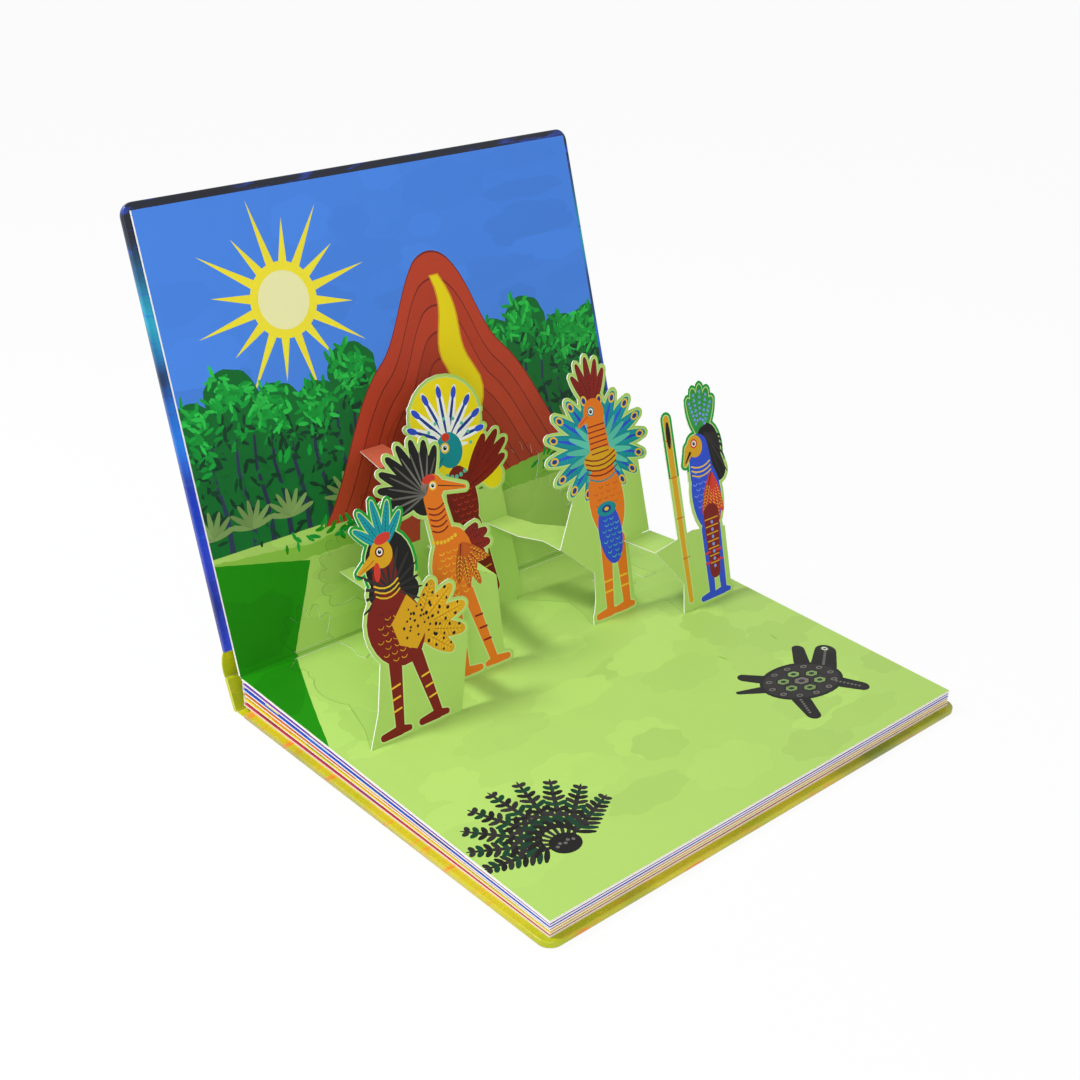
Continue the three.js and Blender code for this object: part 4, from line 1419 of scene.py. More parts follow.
@dataclass
class OpenSpread:
    """The two printed sheets of the open spread.

    Args:
        window_depth: how far the die-cut windows lie below the print.
        edge: paper left round the windows at the sheets' edges.
    """

    window_depth: float = 0.28
    edge: float = 2.0

    def windows(self, side: int, grow: float = 0.0) -> list[Outline]:
        """Outlines of the windows that the figures were cut from on one page, each grown outwards."""
        outlines = []
        limit, reach = side * (1.5 - grow), BOOK.page_length / 2 - self.edge
        for figure in FIGURES:
            if side > 0 and figure.name == "macaw":
                continue
            for outline in figure.cut(grow):
                laid = [(x, y + figure.foot_y) for x, y in outline]
                for axis, bound, keep in ((1, limit, side), (0, reach, -1), (0, -reach, 1)):
                    laid = trimmed(laid, axis, bound, keep) if laid else laid
                if len(laid) > 2:
                    outlines.append(laid)
        return outlines

    def page_outline(self, side: int) -> Outline:
        """The sheet's outline on one page."""
        half, start, end = BOOK.page_length / 2, side * 0.15, side * BOOK.page_width
        return [(-half, start), (half, start), (half, end), (-half, end)]

    def clip(self, outline: Outline, side: int) -> Outline:
        """The part of an outline that lies on the page."""
        half, start, end = BOOK.page_length / 2, side * 0.15, side * BOOK.page_width
        for axis, bound, keep in ((0, half, -1), (0, -half, 1), (1, start, side), (1, end, -side)):
            outline = trimmed(outline, axis, bound, keep) if outline else outline
        return outline

    def tone_patches(self, picture: Picture, side: int, low: float, high: float, count: int) -> None:
        """Soft patches of lighter and deeper green."""
        rng = picture.pen.rng
        for i in range(count):
            x, y = rng.uniform(-118, 118), rng.uniform(low, high)
            shade = rng.choice((0.93, 0.96, 1.03, 1.06))
            blob = picture.pen.blob(x, y, rng.uniform(8, 22), rng.uniform(5, 13), 7, 0.25)
            blob = self.clip(blob, side)
            if len(blob) > 2:
                picture.lay(Ink(Inks.GRASS.colour, 0.35, shade), blob)

    def leaves(
        self, picture: Picture, side: int, x: float, y: float, spread: Point, count: int, inks: Sequence[Ink]
    ) -> None:
        """A mass of pointed leaves round a point.

        Args:
            picture: where they are laid.
            side: the page, -1 for the lower and 1 for the upper.
            x: middle of the mass along the gutter.
            y: its middle away from the gutter.
            spread: its half width and half height.
            count: how many leaves.
            inks: their inks.
        """
        rng = picture.pen.rng
        for _ in range(count):
            a, r = rng.uniform(0, 2 * math.pi), math.sqrt(rng.random())
            lx, ly = x + spread[0] * r * math.cos(a), y + spread[1] * r * math.sin(a)
            length, width, angle = rng.uniform(3.8, 6.8), rng.uniform(1.7, 2.6), rng.uniform(-180, 180)
            leaf = self.clip(picture.pen.feather(lx, ly, length, width, angle, 0, 2), side)
            if len(leaf) > 2:
                picture.lay(rng.choice(inks).varied(rng, 0.18), leaf)

    def lower_picture(self) -> Picture:
        """The lower page: pale green ground, a shaded bank, a tortoise and a spray of fern."""
        picture = Picture(301)
        pen = picture.pen
        picture.lay(Inks.GRASS, self.page_outline(-1))
        self.tone_patches(picture, -1, -200, -4, 60)
        bank = [(-120, -0.15), (-91, -0.15), (-106, -34), (-120, -68)]
        picture.lay(Inks.BANK, pen.rough(bank, 0.12, 3.0))
        mound = [(-94, -4), (-98, -16), (-106, -30), (-116, -40), (-120, -38), (-120, -10), (-110, -3)]
        picture.lay(Ink(Inks.BANK.colour, 0.3, 0.86), pen.rough(mound, 0.3, 3.0))
        self.tortoise(picture)
        self.fern(picture)
        for i in range(26):
            x, y = pen.rng.uniform(-112, 112), pen.rng.uniform(-199, -120)
            if -60 < x < 52 or 40 < x < 112 and y < -132 or x < -40:
                continue
            picture.lay(Inks.GRASS_DEEP, pen.feather(x, y, 5, 1.2, pen.rng.uniform(-20, 20), 0, 3))
        picture.windows, picture.cut_shade_rims = self.windows(-1), self.windows(-1, 0.32)
        return picture

    def tortoise(self, picture: Picture) -> None:
        """A tortoise with a plated shell."""
        pen = picture.pen
        shapes = [
            pen.limb(92, -156, 103, -148, 6, 5), pen.limb(86, -168, 92, -178, 4.4, 3.4),
            pen.limb(62, -168, 57, -179, 4.4, 3.4), pen.limb(54, -152, 44, -147, 2.6, 1.2),
            pen.limb(86, -148, 94, -139, 3.8, 3), pen.limb(62, -148, 55, -140, 3.6, 2.8),
        ]
        picture.lay(Inks.BLACK, *shapes, pen.oval(74, -158, 21, 14, -12, 36))
        picture.lay(Inks.CHARCOAL, pen.oval(74, -158, 19.4, 12.4, -12, 36))
        for row, (count, reach) in enumerate(((1, 0.0), (6, 0.46), (12, 0.82))):
            for k in range(count):
                a = 2 * math.pi * (k + 0.5 * row) / count
                u, v = 20 * reach * math.cos(a), 13 * reach * math.sin(a)
                turn = math.radians(-12)
                x = 74 + u * math.cos(turn) - v * math.sin(turn)
                y = -158 + u * math.sin(turn) + v * math.cos(turn)
                size = (4.6, 3.7, 2.2)[row]
                plate = (Inks.GREY, Inks.BUSH, Inks.GREY)[row].varied(pen.rng, 0.15)
                picture.lay(Inks.BLACK, pen.oval(x, y, size * 1.1, size * 0.8, -12, 6))
                picture.lay(plate, pen.oval(x, y, size * 0.86, size * 0.6, -12, 6))
                picture.lay(Inks.CHARCOAL, pen.oval(x, y, size * 0.4, size * 0.28, -12, 6))
        for i in range(7):
            t = i / 6
            picture.lay(Inks.GREY, pen.oval(93 + 9 * t, -155 + 6.4 * t, 0.9, 0.7, 0, 6))
            for x in (86.4 + 5 * t, 61.6 - 4.6 * t):
                picture.lay(Inks.GREY, pen.oval(x, -168 - 9 * t, 0.8, 0.6, 0, 6))
        eye(picture, 104, -146.6, 1.2, Inks.BUSH)

    def fern(self, picture: Picture) -> None:
        """A spray of fern fronds with their leaflets."""
        pen = picture.pen
        for x, y, reach, width, angle in fan(9, -86, -176, 44, 9, -78, 70):
            picture.lay(Inks.CHARCOAL.varied(pen.rng, 0.2), pen.feather(x, y, reach, 2.2, angle))
            for k in range(9):
                px, py = towards(x, y, reach * (0.22 + 0.085 * k), angle)
                size = width * (0.95 - 0.07 * k)
                for side in (-1, 1):
                    ink = (Inks.BLACK, Inks.TREE_DARK, Inks.CHARCOAL)[k % 3].varied(pen.rng, 0.2)
                    picture.lay(ink, pen.feather(px, py, size, 2.5, angle + side * 58, 0, 4))
        picture.lay(Inks.BLACK, pen.oval(-86, -176, 7, 6))
        for k in range(5):
            picture.lay(Inks.GREY, pen.oval(-90 + 2 * k, -176 + (k % 2), 0.8, 0.8, 0, 8))

    def upper_picture(self) -> Picture:
        """The upper page: sky with a sun, a layered hill with a path, trees, and the meadow's far end."""
        picture = Picture(302)
        pen = picture.pen
        picture.lay(Inks.GRASS, self.page_outline(1))
        self.tone_patches(picture, 1, 4, 60, 18)
        sky = [(-120, 96), (120, 96), (120, 205), (-120, 205)]
        picture.lay(Inks.SKY, sky)
        for _ in range(26):
            x, y = pen.rng.uniform(-118, 118), pen.rng.uniform(104, 203)
            cloud = self.clip(pen.blob(x, y, pen.rng.uniform(8, 26), pen.rng.uniform(4, 10), 6, 0.2), 1)
            if len(cloud) > 2:
                picture.lay(Ink(Inks.SKY.colour, 0.4, pen.rng.choice((0.93, 0.97, 1.05))), cloud)
        self.sun(picture)
        self.trees(picture, -126, -20, 5)
        self.trees(picture, 44, 126, 4)
        self.hill(picture)
        meadow = [(-120, 52), (-70, 47), (-20, 53), (30, 49), (78, 54), (120, 50), (120, 41), (-120, 41)]
        picture.lay(Inks.GRASS_DEEP, pen.rough(meadow, 0.4, 2.6))
        self.leaves(picture, 1, -62, 50, (28, 3), 26, (Inks.BANK, Inks.LEAF))
        self.leaves(picture, 1, 92, 50, (26, 3), 26, (Inks.BANK, Inks.LEAF))
        picture.lay(Inks.BANK, pen.rough([(-120, 0.15), (-91, 0.15), (-73, 40), (-120, 51)], 0.12, 3.0))
        mound = [(-120, 3), (-98, 3), (-88, 14), (-86, 26), (-96, 33), (-108, 30), (-120, 36)]
        picture.lay(Ink(Inks.BANK.colour, 0.3, 0.88), pen.rough(mound, 0.3, 3.0))
        picture.windows, picture.cut_shade_rims = self.windows(1), self.windows(1, 0.32)
        return picture

    def sun(self, picture: Picture) -> None:
        """The sun, a plain disc with short and long pointed rays."""
        pen = picture.pen
        sun_x, sun_y, radius, rays = -58.0, 156.0, 17.0, 16
        for i in range(rays):
            heading = (i + 0.5) / rays * 2 * math.pi
            reach, half = (46.0, 36.0)[i % 2], 0.62 * math.pi / rays
            corners = ((radius, -half), (reach, 0.0), (radius, half))
            ray = [(sun_x + r * math.cos(heading + turn), sun_y + r * math.sin(heading + turn)) for r, turn in corners]
            picture.lay(Inks.SUN.varied(pen.rng, 0.04), ray)
        picture.lay(Inks.SUN, pen.oval(sun_x, sun_y, radius, radius, 0, 48))
        picture.lay(Inks.SUN_PALE, pen.oval(sun_x, sun_y, radius - 4, radius - 4, 0, 40))

    def trees(self, picture: Picture, left: float, right: float, crowns: int) -> None:
        """A line of trees with trunks and many leaves."""
        pen = picture.pen
        span = (right - left) / crowns
        for i in range(crowns):
            x, y = left + span * (i + 0.5), 112 + 8 * math.sin(1.9 * i + left)
            crown = self.clip(pen.blob(x, y, span * 0.6, 12, 7, 0.08), 1)
            left_side, right_side = x - span * 0.52, x + span * 0.52
            body = self.clip([(left_side, 54), (right_side, 54), (right_side, y), (left_side, y)], 1)
            picture.lay(Inks.TREE.varied(pen.rng, 0.1), crown, body)
        for i in range(crowns * 2):
            x = left + span * (i + 0.5) / 2 + pen.rng.uniform(-2, 2)
            if abs(x) < 116:
                trunk = [(x, 54), (x + 1.2, 70), (x - 0.6, 88), (x + 1.6, 102)]
                picture.lay(Inks.TRUNK.varied(pen.rng, 0.2), pen.stroke(trunk, 2.8, 1.2))
        for i in range(crowns):
            x, y = left + span * (i + 0.5), 112 + 8 * math.sin(1.9 * i + left)
            self.leaves(picture, 1, x, 76, (span * 0.5, 20), 36, (Inks.TREE_DARK, Inks.TREE, Inks.TREE_DARK))
            self.leaves(picture, 1, x, y - 12, (span * 0.5, 9), 40, (Inks.TREE_DARK, Inks.LEAF, Inks.TREE))
            self.leaves(picture, 1, x - 2, y + 2, (span * 0.46, 9), 58, (Inks.LEAF, Inks.LEAF_BRIGHT, Inks.LEAF))
            fronds = pen.rng.uniform(-6, 6)
            for k in range(7):
                frond = self.clip(pen.feather(x + fronds, 62, 13, 2.6, -75 + 25 * k), 1)
                if len(frond) > 2:
                    picture.lay(Inks.BUSH.varied(pen.rng, 0.2), frond)

    def hill(self, picture: Picture) -> None:
        """The brick-red hill in layers, with its winding yellow path."""
        pen = picture.pen
        foot_x, foot_y, layers = 15.0, 50.0, 9
        outline = pen.curve(
            (-62, 52), (-44, 70, -34, 104, -14, 118), (-4, 126, 4, 150, 14, 160), (20, 165, 28, 165, 34, 159),
            (46, 146, 46, 124, 58, 112), (72, 98, 78, 72, 92, 50),
        )
        for i in range(layers):
            share = 1 - i / layers
            for ink, size in ((Inks.BRICK_DARK, share), (Inks.BRICK.varied(pen.rng, 0.1), share - 0.008)):
                picture.lay(ink, [(foot_x + (x - foot_x) * size, foot_y + (y - foot_y) * size) for x, y in outline])
        path = pen.curve((-6, 52), (-12, 76, 34, 88, 22, 108), (14, 122, 30, 132, 22, 152))
        path += pen.curve((27, 152), (40, 130, 28, 122, 38, 106), (52, 84, 20, 76, 26, 52))
        picture.lay(Inks.PATH, path)
        picture.lay(Inks.PATH_LINE, pen.stroke(path, 0.9, 0.9))

    def build(self) -> None:
        """Builds both sheets and the fold between them."""
        front = -BOOK.fold_allowance
        nodes = {
            -1: ("lower_sheet", "lower_shade_print", "tortoise_print", "fern_print"),
            1: (
                "upper_sheet", "sky_print", "sun_print", "hill_print", "hill_path_print", "left_trees_print",
                "right_trees_print", "upper_shade_print",
            ),
        }
        for side, name, body in ((-1, "lower_printed_page", "base"), (1, "upper_printed_page", "front_cover")):
            picture = self.lower_picture() if side < 0 else self.upper_picture()
            place = PLACES.lower() if side < 0 else PLACES.upper()
            page = PrintedSheet(
                name, picture, place, front + 0.04, BOOK.sheet_thickness + 0.04, Inks.PAPER,
                window_depth=self.window_depth,
            ).build()
            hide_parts(*nodes[side])
            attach(page, body)
        self.gutter()

    def gutter(self) -> None:
        """The fold where the lower page turns up into the upper one."""
        seen = [(-0.8, -0.45), (-0.15, -0.45), (0.2, -0.34), (0.46, -0.02), (0.64, 0.48)]
        under = [(0.9, 0.4), (0.72, -0.15), (0.3, -0.62), (-0.15, -0.72), (-0.8, -0.72)]
        # The fold is inked a deeper green than the grass on either page: painted shade in the gutter crease. Left of x
        # = -90 it takes the bank's green.
        fold = Profile(
            "gutter_fold", seen + under, BOOK.page_length, Finish.PRINT, PLACES.lower(), (Ink(0x8CB850, 0.4),),
            steps=80, patch=(-90.0, Inks.BANK),
        ).build()
        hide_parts("lower_sheet")
        Weighting((-0.5, -0.6), (0.75, 0.4)).apply(fold)


@dataclass
class Profile:
    """A piece with one profile across the gutter, run along the book.

    Args:
        name: the piece's name.
        points: the profile as (y, z) in millimetres, anticlockwise seen from the right-hand end.
        length: length along X.
        finish: the finish.
        place: frame of the profile.
        inks: ink of each side of the profile, or one for all.
        end_ink: ink of the two ends.
        steps: number of steps along X.
        wave: how far a point is lifted, from its x and y.
        patch: an x, and the ink of everything to its left.
    """

    name: str
    points: Outline
    length: float
    finish: Finish
    place: Matrix
    inks: Sequence[Ink] = (Inks.PAPER,)
    end_ink: Ink = Inks.PAPER
    steps: int = 24
    wave: Callable[[float, float], float] | None = None
    patch: tuple[float, Ink] | None = None

    def build(self) -> bpy.types.Object:
        """Builds the closed mesh."""
        count = len(self.points)
        xs = [-self.length / 2 + self.length * i / self.steps for i in range(self.steps + 1)]
        corners = [(x, y, z + (self.wave(x, y) if self.wave else 0.0)) for x in xs for y, z in self.points]
        faces, paints, layout = [], [], []
        for i in range(self.steps):
            run = 0.0
            for k in range(count):
                n = (k + 1) % count
                reach = math.dist(self.points[k], self.points[n])
                faces.append([i * count + k, (i + 1) * count + k, (i + 1) * count + n, i * count + n])
                patched = self.patch is not None and xs[i + 1] <= self.patch[0] + 0.01
                paints.append(self.patch[1] if patched else self.inks[k % len(self.inks)])
                layout.append([(xs[i], run), (xs[i + 1], run), (xs[i + 1], run + reach), (xs[i], run + reach)])
                run += reach
        last = self.steps * count
        for face in (list(range(count - 1, -1, -1)), [last + k for k in range(count)]):
            faces.append(face)
            paints.append(self.end_ink)
            layout.append([(corners[v][1], corners[v][2]) for v in face])
        mesh = bpy.data.meshes.new(self.name)
        mesh.from_pydata([self.place @ Vector(c) for c in corners], [], [f[::-1] for f in faces])
        dress(mesh, [places[::-1] for places in layout], paints)
        made = add_piece(self.name, mesh, self.finish)
        mend(mesh)
        return made


def mend(mesh: bpy.types.Mesh) -> None:
    """Turns the mesh's faces outwards."""
    work = bmesh.new()
    work.from_mesh(mesh)
    bmesh.ops.recalc_face_normals(work, faces=work.faces[:])
    work.to_mesh(mesh)
    work.free()
    mesh.update()


@dataclass
class Board:
    """A cover board in its wrap, with rounded outer corners and soft edges.

    Args:
        name: the piece's name.
        near: y of its edge at the hinge.
        far: y of its fore-edge.
        bottom: z of its lower face.
        place: frame of the board.
        finish: the wrap's finish.
        ease: radius of its soft edges.
    """

    name: str
    near: float
    far: float
    bottom: float
    place: Matrix
    finish: Finish
    ease: float = 0.7

    def outline(self, inset: float) -> Outline:
        """The board's outline, with each side moved in."""
        half = BOOK.cover_length / 2 - inset
        out = math.copysign(1.0, self.far - self.near)
        near, far = self.near + out * inset, self.far - out * inset
        radius = BOOK.cover_corner - inset
        points = [(-half, near)]
        for cx, first in ((-half + radius, 180), (half - radius, 90)):
            for i in range(9):
                a = math.radians(first - 90 * i / 8)
                points.append((cx + radius * math.cos(a), far - out * radius + out * radius * math.sin(a)))
        points.append((half, near))
        return points

    def build(self) -> bpy.types.Object:
        """Builds the board."""
        rings = []
        steps = 4
        top = self.bottom + BOOK.cover_thickness
        for i in range(steps + 1):
            a = math.radians(90 * i / steps)
            rings.append((self.ease * (1 - math.sin(a)), self.bottom + self.ease * (1 - math.cos(a))))
        for i in range(steps + 1):
            a = math.radians(90 * i / steps)
            rings.append((self.ease * (1 - math.cos(a)), top - self.ease * (1 - math.sin(a))))
        count = len(self.outline(0))
        corners = [(x, y, z) for inset, z in rings for x, y in self.outline(inset)]
        faces = []
        for r in range(len(rings) - 1):
            for k in range(count):
                n = (k + 1) % count
                faces.append([r * count + k, r * count + n, (r + 1) * count + n, (r + 1) * count + k])
        faces.append(list(range(count)))
        faces.append([(len(rings) - 1) * count + k for k in range(count)])
        mesh = bpy.data.meshes.new(self.name)
        mesh.from_pydata([self.place @ Vector(c) for c in corners], [], faces)
        flat = [(x + z * 0.8, y + z * 0.8) for x, y, z in corners]
        dress(mesh, [[flat[v] for v in f] for f in faces], [Inks.PAPER] * len(faces))
        made = add_piece(self.name, mesh, self.finish)
        mend(mesh)
        for polygon in mesh.polygons:
            polygon.use_smooth = len(polygon.vertices) == 4
        return made


@dataclass
class Case:
    """The book's case: both covers, the spine and the hinges."""

    def build(self) -> None:
        """Builds the case round the pages."""
        fore = BOOK.page_width * math.cos(BOOK.drop) + BOOK.cover_square
        back = Board("back_cover_wrapped", -BOOK.rear_groove, -fore, 0.0, PLACES.book(), Finish.BACK_WRAP).build()
        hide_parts("back_cover")
        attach(back, "base")
        front = Board(
            "front_cover_wrapped", BOOK.front_groove, BOOK.page_width + BOOK.cover_square, BOOK.front_cover_back,
            PLACES.upper(), Finish.FRONT_WRAP,
        ).build()
        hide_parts("front_cover")
        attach(front, "front_cover")
        self.spine()
        self.hinges()

    def spine(self) -> None:
        """The spine board in its wrap."""
        half = BOOK.spine_thickness / 2
        pivot = Matrix.Translation((0, BOOK.spine_clearance + half, half))
        place = PLACES.book() @ pivot @ Matrix.Rotation(-math.radians(BOOK.spine_lean), 4, "X")
        points = [(half * math.cos(a), half * math.sin(a)) for a in (math.pi + i * math.pi / 10 for i in range(11))]
        top = BOOK.spine_length
        points += [
            (half, top - 0.9), (half - 0.3, top - 0.3), (half - 0.9, top),
            (0.9 - half, top), (0.3 - half, top - 0.3), (-half, top - 0.9),
        ]
        spine = Profile("spine_wrapped", points, BOOK.cover_length, Finish.SPINE_WRAP, place).build()
        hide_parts("spine_board")
        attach(spine, "spine")

    def hinges(self) -> None:
        """The wrap that joins the spine to both covers."""
        lean = math.radians(BOOK.spine_lean)
        half = BOOK.spine_thickness / 2
        reach = BOOK.spine_length + BOOK.seat_gap
        pivot_y, pivot_z = BOOK.spine_clearance + half, half
        foot = (
            pivot_y + reach * math.sin(lean) + half * math.cos(lean),
            pivot_z + reach * math.cos(lean) - half * math.sin(lean),
        )
        turn = BOOK.drop + BOOK.flap
        y, z = BOOK.front_groove - BOOK.seat_gap, BOOK.front_cover_back + 0.2
        head = (y * math.cos(turn) - z * math.sin(turn), BOOK.fold_z + y * math.sin(turn) + z * math.cos(turn))
        knee = (foot[0] + 3.0, (foot[1] + head[1]) / 2 - 0.4)
        outer = [
            tuple((1 - t) ** 2 * a + 2 * t * (1 - t) * b + t * t * c for a, b, c in zip(foot, knee, head))
            for t in (i / 8 for i in range(9))
        ]
        inner = [(y - BOOK.hinge_paper, z) for y, z in outer]
        strip = Profile(
            "front_hinge_wrap", outer + inner[::-1], BOOK.cover_length, Finish.SPINE_WRAP, PLACES.book()
        ).build()
        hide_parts("front_hinge_strip")
        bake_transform(strip)
        tongue = [
            (-BOOK.rear_groove - 0.6, 0.1), (BOOK.spine_clearance - BOOK.seat_gap, 0.1),
            (BOOK.spine_clearance - BOOK.seat_gap, BOOK.hinge_paper), (-BOOK.rear_groove - 0.6, BOOK.hinge_paper),
        ]
        rear = Profile("rear_hinge_wrap", tongue, BOOK.cover_length - 1, Finish.SPINE_WRAP, PLACES.book()).build()
        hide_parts("back_cover")
        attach(rear, "base")


@dataclass
class Pages:
    """The closed leaves under the open spread, and the leaf behind the upper page.

    Args:
        edges: tint of each leaf's cut edge, from the lowest up.
        faces: ink of each leaf's upper face, from the lowest up.
    """

    edges: tuple[int, ...] = (0xF4E6E2, 0xF3E9D0, 0xF6F1DC, 0xE8EAF2, 0xF0E8F4, 0xFAF9F5)

    faces: tuple[Ink, ...] = (
        Ink(0xD84860, 0.9), Ink(0xF6DC30, 0.9), Ink(0xF4962A, 1.0), Ink(0x3C68D8, 1.0), Ink(0x9468D0, 0.9), Inks.PAPER,
    )

    def leaf_top(self, index: int, share: float) -> float:
        """Height of a leaf's top at a share of the way from the spine to the fore-edge."""
        stack = BOOK.block_at_spine + (BOOK.block_at_edge - BOOK.block_at_spine) * share
        free = stack - BOOK.sheet_thickness - BOOK.paper_gap - BOOK.leaf_thickness
        return BOOK.cover_thickness + BOOK.leaf_thickness + free * index / (BOOK.leaf_count - 1)

    def build(self) -> None:
        """Builds the leaves one by one."""
        fore = -BOOK.page_width * math.cos(BOOK.drop)
        steps = 20
        for i in range(BOOK.leaf_count):
            rows = [-0.4 + (fore + 0.4) * k / steps for k in range(steps + 1)]
            top = [(y, self.leaf_top(i, y / fore)) for y in rows]
            bottom = [(y, z - (0.72 if i else BOOK.leaf_thickness)) for y, z in top]
            below = self.faces[i - 1] if i else Inks.PAPER
            above = self.faces[i]
            edge = Ink(self.edges[i], 0.4)
            inks = [above] * steps + [edge] + [below] * steps + [edge]
            amount = 0.0 if i in (0, BOOK.leaf_count - 1) else 0.1

            def wave(x: float, y: float, i: int = i, amount: float = amount) -> float:
                """How far the leaf lifts at a point."""
                return amount * math.sin(x / 31 + i * 1.7) * math.sin(y / 40 + i * 0.9)

            length = BOOK.page_length - (0.0 if i == BOOK.leaf_count - 1 else 0.3 * ((i * 7) % 3))
            name = f"closed_leaf_{i + 1}"
            leaf = Profile(name, top + bottom[::-1], length, Finish.PRINT, PLACES.book(), inks, edge, wave=wave).build()
            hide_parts("page_block")
            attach(leaf, "base")
        self.folded_parts(fore)
        self.edge_papers(fore)
        self.folds()
        self.upper_leaf()

    def folded_parts(self, fore: float) -> None:
        """The folded pop-ups between the closed leaves, whose coloured edges show in the gaps."""
        rng = random.Random(77)
        palettes = (
            (0xD23B5C, 0xE88A9A, 0xB02A38), (0xF2D21E, 0xE8B81C, 0xC98A1C), (0xF0932B, 0xF4C42C, 0x8A4A20),
            (0x2E57C8, 0x5A3A22, 0x1E1C22), (0x7E58B8, 0x6A48A4, 0xA07AC8),
        )
        for gap in range(BOOK.leaf_count - 1):
            for k in range(3):
                share_a, share_b = rng.uniform(0.03, 0.1), rng.uniform(0.62, 0.9)
                rows = [share_a + (share_b - share_a) * j / 10 for j in range(11)]
                room = [self.leaf_top(gap + 1, s) - BOOK.leaf_thickness - self.leaf_top(gap, s) for s in rows]
                place = (k + 0.5) / 3
                lift = [self.leaf_top(gap, s) + r * place for s, r in zip(rows, room)]
                half = [min(0.16, r * 0.13) for r in room]
                top = [(fore * s, z + h) for s, z, h in zip(rows, lift, half)]
                bottom = [(fore * s, z - h) for s, z, h in zip(rows, lift, half)]
                ink = Ink(palettes[gap][k], 0.8)
                length = BOOK.page_length - rng.uniform(3.0, 14.0)
                name = f"folded_paper_{gap + 1}_{k + 1}"
                paper = Profile(name, top + bottom[::-1], length, Finish.PRINT, PLACES.book(), (ink,), ink).build()
                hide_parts("page_block")
                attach(paper, "base")

    def edge_papers(self, fore: float) -> None:
        """Short coloured flaps of the folded pop-ups that reach the leaves' edges."""
        rng = random.Random(91)
        colours = (0x16161C, 0x1E3C9C, 0x5A3424, 0x2C8CD8, 0xF4E04A, 0xD84A6A, 0xF09030, 0x6A3CA8)
        for gap in range(BOOK.leaf_count - 1):
            for k in range(5):
                share_a = 0.06 + 0.17 * k + rng.uniform(0.0, 0.05)
                share_b = share_a + rng.uniform(0.05, 0.12)
                rows = [share_a + (share_b - share_a) * j / 4 for j in range(5)]
                room = [self.leaf_top(gap + 1, s) - 0.72 - self.leaf_top(gap, s) for s in rows]
                lift = rng.uniform(0.3, 0.7)
                top = [(fore * s, self.leaf_top(gap, s) + r * min(0.94, lift + 0.24)) for s, r in zip(rows, room)]
                bottom = [(y, z - r * 0.4) for (y, z), r in zip(top, room)]
                ink = Ink(rng.choice(colours), 0.9)
                length = BOOK.page_length - rng.uniform(0.5, 1.8)
                name = f"paper_flap_{gap + 1}_{k + 1}"
                flap = Profile(name, top + bottom[::-1], length, Finish.PRINT, PLACES.book(), (ink,), ink, 6).build()
                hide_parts("page_block")
                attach(flap, "base")

    def folds(self) -> None:
        """The rounded back of each leaf's fold at the spine."""
        for i in range(BOOK.leaf_count - 1):
            low = self.leaf_top(i, 0) - BOOK.leaf_thickness * 0.5
            high = self.leaf_top(i + 1, 0) - BOOK.leaf_thickness * 0.5
            middle, half = (low + high) / 2, (high - low) / 2 + 0.32
            rising = [math.radians(-90 + 18 * k) for k in range(11)]
            falling = [math.radians(90 - 18 * k) for k in range(11)]
            outer = [(-1.3 + 1.1 * math.cos(a), middle + half * math.sin(a)) for a in rising]
            inner = [(-1.3 + 0.55 * math.cos(a), middle + (half - 0.5) * math.sin(a)) for a in falling]
            name, length = f"leaf_fold_{i + 1}", BOOK.page_length - 0.6
            fold = Profile(name, outer + inner, length, Finish.EDGE, PLACES.book()).build()
            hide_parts("page_block")
            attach(fold, "base")

    def upper_leaf(self) -> None:
        """The leaf between the upper page and the front cover."""
        start, end = 0.2, BOOK.page_width
        low, high = BOOK.upper_leaf_back, BOOK.upper_leaf_back + BOOK.leaf_thickness + 0.08
        points = [(start, low), (end, low), (end, high), (start, high)]
        leaf = Profile("upper_leaf", points, BOOK.page_length, Finish.EDGE, PLACES.upper()).build()
        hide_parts("upper_page")
        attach(leaf, "front_cover")


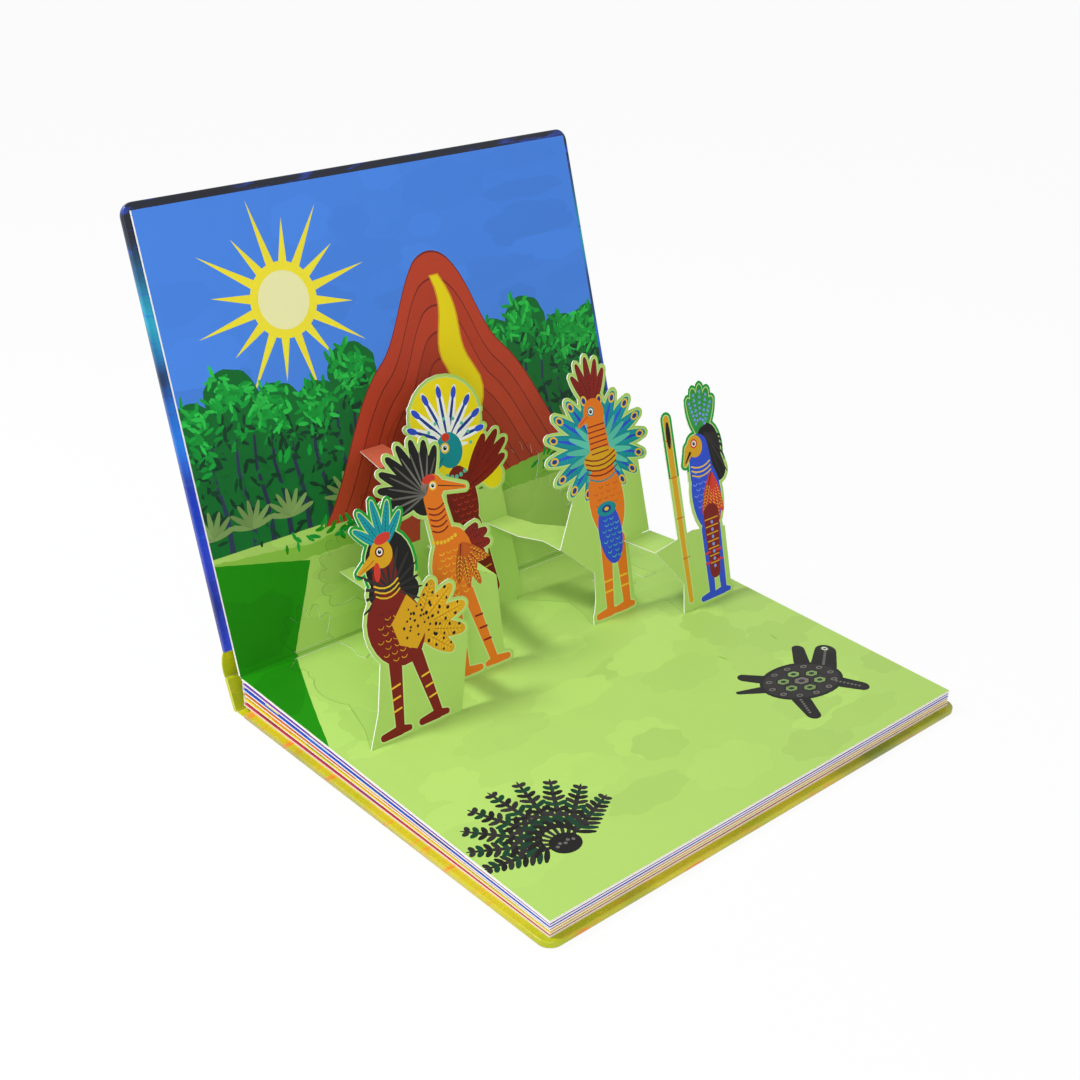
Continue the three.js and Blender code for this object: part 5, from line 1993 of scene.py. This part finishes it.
@dataclass
class Studio:
    """Camera, floor and lights.

    Args:
        lens: focal length for a 36 mm sensor.
        eye: the camera's place in the lower page's frame, in millimetres.
        forward: its direction in that frame.
        azimuth: its heading, in degrees.
        roll: its roll, in degrees.
    """

    lens: float = 51.907
    eye: tuple[float, float, float] = (-415.40, -516.46, 374.92)
    forward: tuple[float, float, float] = (0.59821, 0.65558, -0.46082)
    azimuth: float = -42.38
    roll: float = 2.02

    def camera(self) -> None:
        """Sets up the camera at the photograph's angle."""
        spread = PLACES.lower()
        forward = Vector(self.forward).normalized()
        level = Vector((math.cos(math.radians(self.azimuth)), math.sin(math.radians(self.azimuth)), 0))
        up = level.cross(forward)
        cos, sin = math.cos(math.radians(self.roll)), math.sin(math.radians(self.roll))
        right, top = level * cos + up * sin, up * cos - level * sin
        turn = Matrix((right, top, -forward)).transposed().to_4x4()
        place = Matrix.Translation(spread @ Vector(self.eye)) @ Matrix.Rotation(BOOK.drop, 4, "X") @ turn
        data = bpy.data.cameras.new("camera")
        data.lens, data.sensor_width, data.sensor_fit = self.lens, 36.0, "HORIZONTAL"
        data.clip_start = 0.05
        made = add("camera", data)
        made.matrix_world = place
        bpy.context.scene.camera = made

    def lamp(self, name: str, place: Spot, size: float, power: float, aim: Spot) -> None:
        """Adds a square area lamp.

        Args:
            name: the lamp's name.
            place: where it stands, in metres.
            size: length of its side, in metres.
            power: its power, in watts.
            aim: the point that it shines at.
        """
        data = bpy.data.lights.new(name, "AREA")
        data.size, data.energy = size, power
        made = add(name, data)
        made.location = place
        made.rotation_euler = (Vector(aim) - Vector(place)).to_track_quat("-Z", "Y").to_euler()

    def seen(self, tree: ShaderTree) -> Signal:
        """1 for rays from the camera, and for mirrored and refracted ones."""
        kinds = ("Is Camera Ray", "Is Glossy Ray", "Is Transmission Ray")
        rays = [tree.node("ShaderNodeLightPath", output=kind) for kind in kinds]
        return tree.node("ShaderNodeMath", {"operation": "MAXIMUM"}, {0: rays[0] + rays[1], 1: rays[2]})

    def floor(self) -> None:
        """A pale floor that keeps the book's shadow."""
        mesh = bpy.data.meshes.new("floor")
        reach = 40.0
        corners = [(-reach, -reach, 0), (reach, -reach, 0), (reach, reach, 0), (-reach, reach, 0)]
        mesh.from_pydata(corners, [], [(0, 1, 2, 3)])
        floor = add("floor", mesh)
        floor.location.z = -0.0002
        tree = ShaderTree(bpy.data.materials.new("floor"))
        glow = tree.node("ShaderNodeEmission", {}, {"Color": (1, 1, 1, 1), "Strength": 1.0})
        tree.surface.inputs["Base Color"].default_value = (0.9, 0.9, 0.9, 1)
        tree.surface.inputs["Roughness"].default_value = 0.9
        tree.surface.inputs["Specular IOR Level"].default_value = 0.0
        matte = Signal(tree, tree.surface.outputs[0])
        mixed = tree.node("ShaderNodeMixShader", {}, {0: self.seen(tree) * 0.93, 1: matte, 2: glow})
        tree.links.new(mixed.socket, tree.nodes["Material Output"].inputs["Surface"])
        mesh.materials.append(tree.owner)

    def world(self) -> None:
        """Even light from all round, on a white background."""
        world = bpy.data.worlds.new("studio")
        bpy.context.scene.world = world
        tree = ShaderTree(world)
        tree.finish(Color=(1, 1, 1, 1), Strength=0.5)
        soft = Signal(tree, tree.surface.outputs[0])
        white = tree.node("ShaderNodeBackground", {}, {"Color": (1, 1, 1, 1), "Strength": 1.0})
        mixed = tree.node("ShaderNodeMixShader", {}, {0: self.seen(tree), 1: soft, 2: white})
        tree.links.new(mixed.socket, tree.nodes["World Output"].inputs["Surface"])

    def build(self) -> None:
        """Sets up the studio."""
        self.camera()
        self.floor()
        self.world()
        self.lamp("key", (-0.5, 0.36, 0.85), 0.16, 5.6, (0, -0.02, 0.05))
        self.lamp("front", (-0.75, -0.95, 0.62), 0.7, 5.2, (0, 0.02, 0.08))
        bpy.context.scene.view_settings.view_transform = "Standard"


def main() -> None:
    """Builds the book in its studio."""
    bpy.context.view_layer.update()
    Studio().build()
    Case().build()
    Pages().build()
    OpenSpread().build()
    PopUp().build()


if __name__ == "__main__":
    main()
